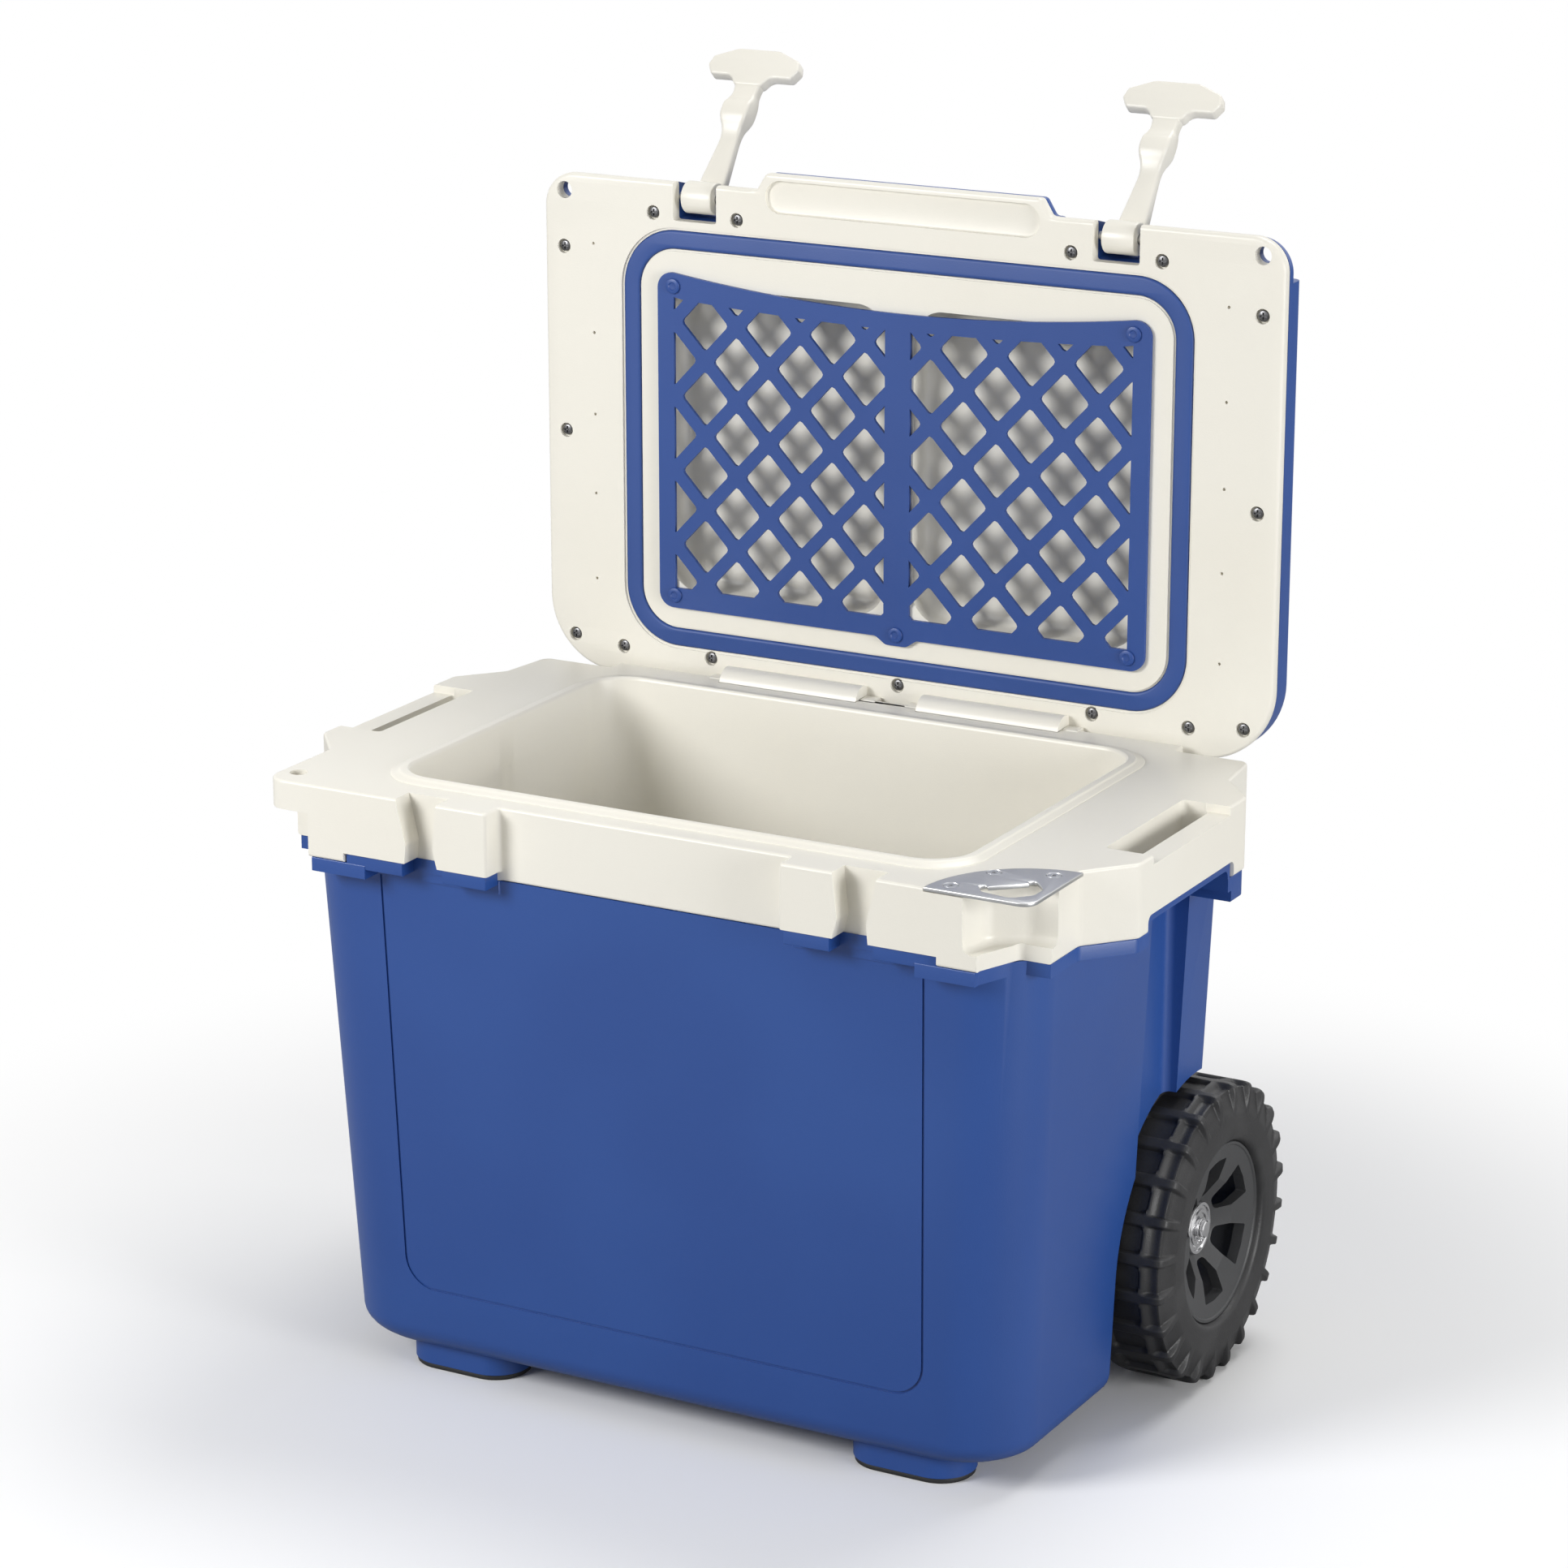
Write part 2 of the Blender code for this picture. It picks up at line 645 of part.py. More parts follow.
def wheel_well(owner, side, inset):
    """Arched cutter round a wheel, open below and outwards."""
    radius = WELL_RADIUS + inset
    low = -OVERRUN - WHEEL_RADIUS
    arch = [(WHEEL_Y - radius, low)]
    for step in range(ROUND_STEPS + 1):
        turn = math.pi * (1 - step / ROUND_STEPS)
        arch.append((WHEEL_Y + radius * math.cos(turn), WHEEL_RADIUS + radius * math.sin(turn)))
    arch.append((WHEEL_Y + radius, low))
    ends = sorted((side * (WELL_X - inset), side * (RIM_HALF_WIDTH + OVERRUN)))
    return prism(f"{owner}_well_{side_name(side)}", [arch], ends[0], ends[1], turn=ALONG_X)


def side_channel(owner, side, inset):
    """Upright recess in the side, in front of the rear column."""
    inner = side * (CHANNEL_X - inset)
    outer = side * (RIM_HALF_WIDTH + OVERRUN)
    low = (min(inner, outer), behind(CHANNEL_FRONT_REACH) - inset, WHEEL_RADIUS)
    top = below(RIM_DROP) + 2 * OVERRUN
    high = (max(inner, outer), behind(CHANNEL_REAR_REACH) + inset, top)
    return box(f"{owner}_channel_{side_name(side)}", low, high)


def rim_plan(inset):
    """Outline of the rim with its corner tabs."""
    soft = RIM_SOFT_RADIUS
    small = RIM_SMALL_RADIUS
    half = [
        (BOSS_INNER_X + inset, behind(RIM_WALL_REACH) + inset, small),
        (BOSS_INNER_X + inset, behind(RIM_FRONT_REACH) + inset, small),
        (TAB_HALF_WIDTH - inset, behind(RIM_FRONT_REACH) + inset, TAB_RADIUS),
        (TAB_HALF_WIDTH - inset, behind(SHOULDER_REACH) + inset, soft),
        (RIM_HALF_WIDTH - inset, behind(BAR_FRONT_REACH) + inset, soft),
        (RIM_HALF_WIDTH - inset, behind(BITE_REACH), soft),
        (BITE_INNER_X - inset, behind(BITE_INNER_REACH), soft),
        (RIM_REAR_HALF_WIDTH - inset, behind(RIM_REAR_REACH) - inset, soft),
        (RIM_CENTRE_HALF_WIDTH - inset, behind(RIM_REAR_REACH) - inset, small),
        (RIM_CENTRE_HALF_WIDTH - inset, HINGE_Y + RIM_CENTRE_REAR - inset, small),
    ]
    return fillet(mirrored(half))


def hollow_plan(inset):
    """Outline of the foam that fills the rim."""
    half = [
        (HOLLOW_HALF_WIDTH - inset, behind(HOLLOW_FRONT_REACH) + inset, HOLLOW_RADIUS - inset),
        (HOLLOW_HALF_WIDTH - inset, behind(SHELL_COLUMN_REACH + SHELL_WALL) - inset, RIM_SMALL_RADIUS),
        (SHELL_CENTRE_HALF_WIDTH - SHELL_WALL - inset, behind(SHELL_COLUMN_REACH + SHELL_WALL) - inset,
         RIM_SMALL_RADIUS),
        (SHELL_CENTRE_HALF_WIDTH - SHELL_WALL - inset, behind(SHELL_REAR_REACH + SHELL_WALL) - inset,
         RIM_SMALL_RADIUS),
    ]
    return fillet(mirrored(half))


def corner_notch(owner, side, inset, top):
    """Cutter for the step in a front corner below the tab."""
    front = behind(RIM_FRONT_REACH) - OVERRUN
    outer = RIM_HALF_WIDTH
    corners = [
        (BOSS_OUTER_X - inset, front, 0.0),
        (BOSS_OUTER_X - inset, behind(RIM_FRONT_REACH) + inset, 0.0),
        (CORNER_NOTCH_X - inset, behind(CORNER_NOTCH_REACH) + inset, RIM_SMALL_RADIUS),
        (outer, behind(CORNER_NOTCH_REACH) + inset, 0.0),
        (outer, front, 0.0),
    ]
    outline = [(side * x, y) for x, y in fillet(corners)]
    low = below(COLLAR_REAR_DROP + OVERRUN)
    return prism(f"{owner}_corner_{side_name(side)}", [outline], low, top)


def keeper_notch(owner, side, grow):
    """Cutter for a latch keeper: wide at the top, narrow at the waist."""
    half = KEEPER_HALF_WIDTH
    levels = (
        (below(-OVERRUN), KEEPER_TOP_SHARES),
        (below(0), KEEPER_TOP_SHARES),
        (below(KEEPER_WAIST_DROP), KEEPER_WAIST_SHARES),
        (below(RIM_BOSS_DROP), KEEPER_FOOT_SHARES),
        (below(RIM_DROP + COLLAR_HEIGHT + OVERRUN), KEEPER_FOOT_SHARES),
    )
    inner = [(side * (KEEPER_X + half * pair[0] - grow), height) for height, pair in levels]
    outer = [(side * (KEEPER_X + half * pair[1] + grow), height) for height, pair in levels]
    outline = inner + outer[::-1]
    return prism(f"{owner}_keeper_{side_name(side)}", [outline], -behind(RIM_WALL_REACH),
                 -behind(RIM_FRONT_REACH) + OVERRUN, turn=ALONG_Y)


def arch_cutter(owner, side, grow):
    """Hand hold below the side bar; grow moves its edges outwards."""
    ends = sorted((side * SLOT_INNER_X, side * (RIM_HALF_WIDTH + OVERRUN)))
    low = (ends[0], behind(ARCH_FRONT_REACH) - grow, below(COLLAR_REAR_DROP + OVERRUN))
    high = (ends[1], behind(ARCH_REAR_REACH) + grow, below(ARCH_DROP) + grow)
    return box(f"{owner}_arch_{side_name(side)}", low, high)


def hand_slot(owner, side):
    """Cutter for the slot through the rim and the step down to the bar."""
    ends = sorted((side * SLOT_INNER_X, side * SLOT_OUTER_X))
    return box(f"{owner}_slot_{side_name(side)}",
               (ends[0], behind(SLOT_FRONT_REACH), below(RIM_DROP + COLLAR_HEIGHT + OVERRUN)),
               (ends[1], behind(SLOT_REAR_REACH), below(-OVERRUN)))


def bar_step(owner, side):
    ends = sorted((side * (SLOT_OUTER_X - OVERRUN), side * (RIM_HALF_WIDTH + OVERRUN)))
    return box(f"{owner}_step_{side_name(side)}",
               (ends[0], behind(SLOT_FRONT_REACH), below(BAR_TOP_DROP)),
               (ends[1], behind(SLOT_REAR_REACH), below(-OVERRUN)))


def opener_plan(shares, radius=0.0):
    """Points given as shares of the plate's radius from its outer front corner."""
    corner_y = behind(RIM_FRONT_REACH)
    return [(OPENER_X - OPENER_RADIUS * x, corner_y + OPENER_RADIUS * y, radius) for x, y in shares]


def opener_outline(grow):
    """Quarter disc with a rounded outer corner."""
    corner_y = behind(RIM_FRONT_REACH)
    points = []
    radius = OPENER_RADIUS + grow
    for step in range(SMALL_ROUND_STEPS + 1):
        turn = math.pi / 2 * (1 + step / SMALL_ROUND_STEPS)
        points.append((OPENER_X + radius * math.cos(turn), corner_y + radius * math.sin(turn), 0.0))
    points.append((OPENER_X + grow, corner_y - grow, OPENER_CORNER_RADIUS))
    return fillet(points)


def hinge_ear(side, name):
    """Round ears on the rim at both ends of a lid knuckle."""
    ears = []
    nears = {"inner": KNUCKLE_INNER_X - CLEARANCE - EAR_WIDTH, "outer": KNUCKLE_OUTER_X + CLEARANCE}
    for end, near in nears.items():
        outline = []
        for y, z in circle(HINGE.y, HINGE.z, EAR_RADIUS):
            outline.append((y, min(z, below(-EAR_RISE))))
        ends = sorted((side * near, side * (near + EAR_WIDTH)))
        ears.append(prism(f"{name}_ear_{end}_{side_name(side)}", [outline], ends[0], ends[1], turn=ALONG_X))
    return ears


def pin_span(side, grow):
    start = side * (KNUCKLE_INNER_X - PIN_BITE - grow)
    end = side * (KNUCKLE_OUTER_X + PIN_BITE + grow)
    return (start, HINGE.y, HINGE.z), (end, HINGE.y, HINGE.z)


def opening_outline(inset):
    corners = rectangle(inset - OPENING_HALF_WIDTH, OPENING_HALF_WIDTH - inset,
                        behind(OPENING_FRONT_REACH) + inset, behind(OPENING_REAR_REACH) - inset,
                        OPENING_RADIUS - inset)
    return fillet(corners)


def tub_solid(name, grow, top, material=None):
    """Inner tub, or the same moved outwards by grow."""
    rings = tub_rings(OPENING_HALF_WIDTH + grow, OPENING_FRONT_REACH + grow,
                      OPENING_REAR_REACH - grow, OPENING_RADIUS + grow, DECK_HEIGHT,
                      TUB_FLOOR_HEIGHT - grow, TUB_FLOOR_RADIUS)
    if top > DECK_HEIGHT:
        rings.insert(0, [(x, y, top) for x, y, _ in rings[0]])
    return loft(name, rings, material)


def make_inner_liner():
    """Cream rim and inner tub in one moulding."""
    liner = prism("inner_liner", [rim_plan(0.0)], below(RIM_DROP), DECK_HEIGHT, CREAM)
    front = behind(RIM_FRONT_REACH)
    cut(liner, corner_notch("liner", -1, 0.0, below(TAB_THICKNESS)))
    cut(liner, corner_notch("liner", 1, 0.0, below(-OVERRUN)))
    cut(liner, prism("liner_hollow", [hollow_plan(0.0)], below(RIM_DROP + OVERRUN),
                     below(RIM_PLATE_THICKNESS)))
    bead = opening_outline(-BEAD_WIDTH)
    join(liner, prism("liner_bead", [bead], below(RIM_PLATE_THICKNESS / 2), below(-BEAD_HEIGHT)))
    join(liner, tub_solid("liner_tub", TUB_WALL, DECK_HEIGHT))
    for side in (-1, 1):
        join(liner, *hinge_ear(side, "liner"))
    cut(liner, tub_solid("liner_inside", 0.0, below(-OVERRUN)))
    low_boss = box("liner_boss_foot",
                   (-BOSS_HIGH_HALF_WIDTH, front - OVERRUN, below(RIM_DROP + OVERRUN)),
                   (BOSS_HIGH_HALF_WIDTH, behind(RIM_WALL_REACH), below(RIM_BOSS_DROP)))
    cut(liner, low_boss)
    for side in (-1, 1):
        cut(liner, keeper_notch("liner", side, 0.0), arch_cutter("liner", side, 0.0))
        cut(liner, hand_slot("liner", side), bar_step("liner", side))
        recess = rod(f"liner_knuckle_{side_name(side)}",
                     (side * (KNUCKLE_INNER_X - CLEARANCE), HINGE.y, HINGE.z),
                     (side * (KNUCKLE_OUTER_X + CLEARANCE), HINGE.y, HINGE.z),
                     KNUCKLE_RADIUS + 2 * CLEARANCE)
        bore = rod(f"liner_pin_bore_{side_name(side)}", *pin_span(side, CLEARANCE),
                   PIN_RADIUS + CLEARANCE, steps=SMALL_ROUND_STEPS)
        cut(liner, recess, bore)
    seat = prism("liner_plate_seat", [opener_outline(CLEARANCE)],
                 below(OPENER_THICKNESS - OPENER_PROUD + CLEARANCE), below(-OVERRUN))
    pocket = prism("liner_pocket", [fillet(opener_plan(POCKET_SHARES, RIM_SOFT_RADIUS))],
                   below(POCKET_DROP), below(-OVERRUN))
    cut(liner, seat, pocket)
    for index, (x, y, _) in enumerate(opener_plan(OPENER_SCREW_SHARES)):
        hole = rod(f"liner_plate_screw_{index}", (x, y, below(SCREW_SHANK + OVERRUN + SCREW_HEAD)),
                   (x, y, DECK_HEIGHT), SCREW_SHANK_RADIUS + CLEARANCE, steps=SMALL_ROUND_STEPS)
        cut(liner, hole)
    padlock = rod("liner_padlock", (-PADLOCK_X, behind(PADLOCK_REACH), below(TAB_THICKNESS + OVERRUN)),
                  (-PADLOCK_X, behind(PADLOCK_REACH), below(-OVERRUN)), PADLOCK_RADIUS)
    cut(liner, padlock)
    return liner


def foot_outline(inset, side):
    half_length = FOOT_LENGTH / 2 - inset
    half_width = FOOT_WIDTH / 2 - inset
    middle = behind(FOOT_FRONT_REACH) + FOOT_WIDTH / 2
    corners = rectangle(side * FOOT_X - half_length, side * FOOT_X + half_length,
                        middle - half_width, middle + half_width, half_width - CLEARANCE)
    return fillet(corners)


def make_collar():
    """Ring of the shell that the rim stands on, seen below it all round."""
    ledge = below(RIM_DROP + CLEARANCE)
    under = below(RIM_DROP + COLLAR_HEIGHT)
    deep = below(COLLAR_REAR_DROP + OVERRUN)
    front = behind(RIM_FRONT_REACH)
    wide = RIM_HALF_WIDTH + OVERRUN
    collar = prism("shell_collar", [rim_plan(COLLAR_INSET)], below(COLLAR_REAR_DROP), ledge)
    cut(collar, box("collar_trim", (-wide, front - OVERRUN, deep), (wide, behind(ARCH_REAR_REACH), under)))
    for side in (-1, 1):
        cut(collar, corner_notch("shell", side, COLLAR_INSET, below(0)))
    gap = COLLAR_INSET + CLEARANCE
    cut(collar, box("collar_boss_trim", (-COLLAR_HIGH_HALF_WIDTH, front - OVERRUN, deep),
                    (COLLAR_HIGH_HALF_WIDTH, behind(RIM_WALL_REACH) - CLEARANCE, below(0))))
    for side in (-1, 1):
        ends = sorted((side * (BOSS_INNER_X + gap), side * (BOSS_HIGH_HALF_WIDTH - CLEARANCE)))
        join(collar, box(f"collar_boss_{side_name(side)}",
                         (ends[0], front + gap, below(RIM_BOSS_DROP + COLLAR_HEIGHT)),
                         (ends[1], behind(RIM_WALL_REACH), below(RIM_BOSS_DROP + CLEARANCE))))
        ends = sorted((side * SLOT_OUTER_X, side * (RIM_HALF_WIDTH - gap)))
        join(collar, box(f"shell_lip_{side_name(side)}",
                         (ends[0], behind(ARCH_FRONT_REACH - CLEARANCE), under + CLEARANCE),
                         (ends[1], behind(ARCH_REAR_REACH + CLEARANCE), below(ARCH_DROP + CLEARANCE))))
    return collar


def make_outer_shell():
    """Blue shell with the collar that the rim stands on."""
    top = below(RIM_DROP + CLEARANCE)
    shell = shell_solid("outer_shell", 0.0, top, BLUE)
    collar = make_collar()
    join(shell, collar)
    for side in (-1, 1):
        cut(shell, arch_cutter("shell", side, -ARCH_LIP), keeper_notch("shell", side, KEEPER_BULGE_ROOM))
        cut(shell, hand_slot("shell", side))
    cut(shell, shell_solid("shell_inside", SHELL_WALL, top + OVERRUN))
    for side in (-1, 1):
        leg = prism(f"shell_leg_{side_name(side)}", [foot_outline(0.0, side)], PAD_HEIGHT + CLEARANCE,
                    SHELL_BOTTOM + SHELL_WALL / 2)
        join(shell, leg)
        bore = rod(f"shell_axle_bore_{side_name(side)}", (side * AXLE_INNER_X, WHEEL_Y, WHEEL_RADIUS),
                   (side * AXLE_END_X, WHEEL_Y, WHEEL_RADIUS), AXLE_RADIUS + CLEARANCE)
        cut(shell, bore)
    cut(shell, drain_rod("shell_drain", CLEARANCE))
    return shell


def drain_rod(name, grow):
    return rod(name, (-RIM_HALF_WIDTH, behind(DRAIN_REACH), DRAIN_HEIGHT),
               (-OPENING_HALF_WIDTH + TUB_FLOOR_RADIUS, behind(DRAIN_REACH), DRAIN_HEIGHT),
               DRAIN_RADIUS + grow)


def make_body_foam():
    """Insulation between the shell and the tub."""
    top = below(RIM_PLATE_THICKNESS + CLEARANCE)
    foam = shell_solid("body_foam", SHELL_WALL + CLEARANCE, top, FOAM)
    around = rectangle(-RIM_HALF_WIDTH, RIM_HALF_WIDTH, behind(RIM_FRONT_REACH), HINGE_Y)
    cut(foam, prism("foam_top_trim", [fillet(around), hollow_plan(CLEARANCE)],
                    below(RIM_DROP), below(-OVERRUN)))
    cut(foam, tub_solid("foam_tub", TUB_WALL + CLEARANCE, below(-OVERRUN)))
    for side in (-1, 1):
        bore = rod(f"foam_axle_bore_{side_name(side)}",
                   (side * (AXLE_INNER_X - CLEARANCE), WHEEL_Y, WHEEL_RADIUS),
                   (side * AXLE_END_X, WHEEL_Y, WHEEL_RADIUS), AXLE_RADIUS + CLEARANCE)
        cut(foam, bore)
    cut(foam, drain_rod("foam_drain", CLEARANCE))
    return foam


def make_foot_pad(side):
    return prism(f"foot_pad_{side_name(side)}", [foot_outline(PAD_INSET, side)], 0.0, PAD_HEIGHT, RUBBER)


def make_wheel(side):
    """Tyre, hub, stub axle and washer of one wheel."""
    name = side_name(side)
    half = WHEEL_HALF_WIDTH
    seat = RIM_SEAT_RADIUS
    shoulder = WHEEL_RADIUS - WHEEL_SHOULDER
    tyre = turned(f"tyre_{name}", [
        (seat, half - WHEEL_SHOULDER / 2), (seat + WHEEL_SHOULDER / 2, half), (shoulder, half),
        (WHEEL_RADIUS, half - WHEEL_SHOULDER), (WHEEL_RADIUS, WHEEL_SHOULDER - half),
        (shoulder, -half), (seat + WHEEL_SHOULDER / 2, -half), (seat, WHEEL_SHOULDER / 2 - half),
    ], TYRE_STEPS, RUBBER, closed=True)
    bore = AXLE_RADIUS + CLEARANCE
    outer = seat - CLEARANCE
    inner = outer - HUB_RIM_WALL
    face = half - HUB_FACE_INSET
    hub = turned(f"wheel_hub_{name}", [
        (bore, HUB_CORE_HEIGHT), (HUB_CORE_RADIUS, HUB_CORE_HEIGHT), (HUB_BEND_RADIUS, HUB_BEND_HEIGHT),
        (inner, face), (outer, face), (outer, -face), (inner, -face), (inner, face - HUB_WEB),
        (HUB_BEND_RADIUS, HUB_BEND_HEIGHT - HUB_WEB), (HUB_CORE_RADIUS, HUB_CORE_HEIGHT - HUB_WEB),
        (HUB_CORE_RADIUS, -face), (bore, -face),
    ], HUB_STEPS, GREY, closed=True)
    windows = [hub_window(f"hub_window_{name}_{index}", index) for index in range(HUB_WINDOWS)]
    cut(hub, *windows)
    seat_x = WHEEL_X + HUB_CORE_HEIGHT + CLEARANCE
    ends = sorted((side * seat_x, side * (seat_x + WASHER_THICKNESS)))
    hole = circle(WHEEL_Y, WHEEL_RADIUS, bore)
    washer = prism(f"axle_washer_{name}", [circle(WHEEL_Y, WHEEL_RADIUS, WASHER_RADIUS), hole],
                   *ends, CHROME, turn=ALONG_X)
    axle = rod(f"axle_{name}", (side * AXLE_INNER_X, WHEEL_Y, WHEEL_RADIUS),
               (side * AXLE_END_X, WHEEL_Y, WHEEL_RADIUS), AXLE_RADIUS, CHROME)
    where = Matrix.Translation((side * WHEEL_X, WHEEL_Y, WHEEL_RADIUS))
    outwards = Matrix.Rotation(side * math.pi / 2, 4, "Y")
    for item in (tyre, hub, *windows):
        item.matrix_world = where @ outwards
    return tyre, hub, axle, washer


def hub_window(name, index):
    """Shield-shaped window between two spokes."""
    corners = [(along, -half, 0.0) for along, half in HUB_WINDOW_SIDE]
    corners.append((HUB_WINDOW_OUTER, 0.0, 0.0))
    corners += [(along, half, 0.0) for along, half in reversed(HUB_WINDOW_SIDE)]
    turn = Matrix.Rotation(2 * math.pi * index / HUB_WINDOWS, 2)
    outline = [tuple(turn @ Vector(point)) for point in fillet(corners)]
    return prism(name, [outline], -WHEEL_HALF_WIDTH, WHEEL_HALF_WIDTH)


def make_drain_plug():
    """Plug screwed into the left side, with its flanged head outside."""
    outer = SHELL_TOP_HALF_WIDTH - DRAFT * (DECK_HEIGHT - DRAIN_HEIGHT - DRAIN_HEAD_RADIUS)
    start = -(outer + CLEARANCE)
    plug = rod("drain_plug", (start - DRAIN_HEAD_THICKNESS, behind(DRAIN_REACH), DRAIN_HEIGHT),
               (start, behind(DRAIN_REACH), DRAIN_HEIGHT), DRAIN_HEAD_RADIUS, BLUE)
    stem = rod("drain_stem", (start - DRAIN_HEAD_THICKNESS / 2, behind(DRAIN_REACH), DRAIN_HEIGHT),
               (start + DRAIN_TRAVEL, behind(DRAIN_REACH), DRAIN_HEIGHT), DRAIN_RADIUS - CLEARANCE)
    carry("drain_axis", (start, behind(DRAIN_REACH), DRAIN_HEIGHT), plug)
    return join(plug, stem)


def make_opener():
    top = below(-OPENER_PROUD)
    window = fillet(opener_plan(OPENER_WINDOW_SHARES, RIM_SMALL_RADIUS))
    outlines = [opener_outline(0.0), window]
    plate = prism("opener_plate", outlines, top - OPENER_THICKNESS, top, STEEL)
    for index, (x, y, _) in enumerate(opener_plan(OPENER_SCREW_SHARES)):
        hole = rod(f"plate_hole_{index}", (x, y, top - OPENER_THICKNESS - OVERRUN),
                   (x, y, top + OVERRUN), SCREW_HEAD_RADIUS + CLEARANCE)
        cut(plate, hole)
        screw = turned(f"opener_screw_{index + 1}", screw_profile(OPENER_THICKNESS - 2 * CLEARANCE),
                       SMALL_ROUND_STEPS, STEEL)
        screw.location = (x, y, top - OPENER_THICKNESS + CLEARANCE)
    return plate


def screw_profile(head):
    """Screw standing head up, with the bottom of its head at zero."""
    return [(0.0, head), (SCREW_HEAD_RADIUS, head), (SCREW_HEAD_RADIUS, 0.0),
            (SCREW_SHANK_RADIUS, 0.0), (SCREW_SHANK_RADIUS, -SCREW_SHANK), (0.0, -SCREW_SHANK)]


def make_handle():
    """Two-stage telescopic handle with its brackets, grip and release button."""
    radii = (TUBE_RADIUS, TUBE_RADIUS - TUBE_STEP, TUBE_RADIUS - 2 * TUBE_STEP)
    stages = ("outer", "middle", "inner")
    sliding = []
    for side in (-1, 1):
        x = side * HANDLE_HALF_WIDTH
        for stage, (label, radius) in enumerate(zip(stages, radii)):
            top = below(TUBE_TOP_DROP) + TUBE_STEP_UP * stage
            bore = radius - TUBE_WALL
            low = TUBE_BOTTOM + TUBE_STEP_UP * stage
            if stage == 2:
                top += GRIP_HEIGHT / 3
            outlines = [circle(x, HANDLE_Y, radius), circle(x, HANDLE_Y, bore)]
            sliding.append(prism(f"handle_tube_{label}_{side_name(side)}", outlines, low, top, STEEL))
    low = below(TUBE_TOP_DROP) + TUBE_STEP_UP * 2
    half = GRIP_THICKNESS / 2
    outline = fillet(rectangle(-GRIP_HALF_WIDTH, GRIP_HALF_WIDTH, HANDLE_Y - half,
                               HANDLE_Y + half, half - CLEARANCE))
    grip = prism("handle_grip", [outline], low, low + GRIP_HEIGHT, RUBBER)
    for side in (-1, 1):
        x = side * HANDLE_HALF_WIDTH
        cut(grip, rod(f"grip_bore_{side_name(side)}", (x, HANDLE_Y, low - OVERRUN),
                      (x, HANDLE_Y, low + GRIP_HEIGHT / 3 + CLEARANCE), radii[2] + CLEARANCE))
    deep = half / 2
    button = fillet(rectangle(-BUTTON_HALF_WIDTH, BUTTON_HALF_WIDTH, HANDLE_Y - deep,
                              HANDLE_Y + deep, deep - CLEARANCE))
    gap = CLEARANCE
    grown = fillet(rectangle(-BUTTON_HALF_WIDTH - gap, BUTTON_HALF_WIDTH + gap,
                             HANDLE_Y - deep - gap, HANDLE_Y + deep + gap, deep))
    floor = low + GRIP_HEIGHT / 2
    cut(grip, prism("button_pocket", [grown], floor - BUTTON_RISE, low + GRIP_HEIGHT + OVERRUN))
    button = prism("handle_button", [button], floor + CLEARANCE, low + GRIP_HEIGHT + BUTTON_RISE, GREY)
    carry("handle_axis", (0.0, HANDLE_Y, below(TUBE_TOP_DROP)), grip, button, *sliding)
    for name, height in (("lower", BRACKET_LOW), ("upper", below(BRACKET_HIGH_DROP))):
        start = behind(SHELL_REAR_REACH) + CLEARANCE
        bracket = box(f"handle_bracket_{name}", (-BRACKET_HALF_WIDTH, start, height),
                      (BRACKET_HALF_WIDTH, HANDLE_Y + BRACKET_THICKNESS / 2, height + BRACKET_HEIGHT), BLUE)
        for side in (-1, 1):
            x = side * HANDLE_HALF_WIDTH
            cut(bracket, rod(f"bracket_bore_{name}_{side_name(side)}", (x, HANDLE_Y, height - OVERRUN),
                             (x, HANDLE_Y, height + BRACKET_HEIGHT + OVERRUN), TUBE_RADIUS + CLEARANCE))
        inner = HANDLE_HALF_WIDTH - BRACKET_THICKNESS / 2
        cut(bracket, box(f"bracket_gap_{name}",
                         (-inner, start + BRACKET_THICKNESS / 2, height - OVERRUN),
                         (inner, HANDLE_Y + BRACKET_THICKNESS, height + BRACKET_HEIGHT + OVERRUN)))


LID_FRAME = Matrix.Translation(HINGE) @ Matrix.Rotation(-math.pi / 2, 4, "X")


def lift(depth):
    """Height in the shut lid's own frame of a depth above its underside."""
    return LID_FLANGE_OFFSET + depth


def hang(item, frame=LID_FRAME):
    """Stands a lid piece, and the tools that shape it, in the open pose."""
    item.matrix_world = frame
    for change in item.modifiers:
        if change.type == "BOOLEAN" and change.object.matrix_world != frame:
            hang(change.object, frame)
    return item


def lid_plan(inset):
    half = [
        (LID_HALF_WIDTH - inset, -LID_FRONT_REACH + inset, LID_FRONT_RADIUS - inset / 2),
        (LID_HALF_WIDTH - inset, -LID_REAR_REACH - inset, LID_REAR_RADIUS - inset / 2),
    ]
    return fillet(mirrored(half), CORNER_STEPS)


def lip_plan(inset):
    half = [
        (LIP_HALF_WIDTH + LIP_FLARE - inset, -LID_FRONT_REACH + inset, RIM_SMALL_RADIUS),
        (LIP_HALF_WIDTH - inset, -LIP_REACH + inset, RIM_SMALL_RADIUS),
    ]
    foot = [(LIP_HALF_WIDTH + LIP_FLARE - inset, -LID_FRONT_REACH + LID_FRONT_RADIUS, 0.0)]
    right = [(x, y, r) for x, y, r in reversed(half)]
    return fillet(mirrored(right + foot))


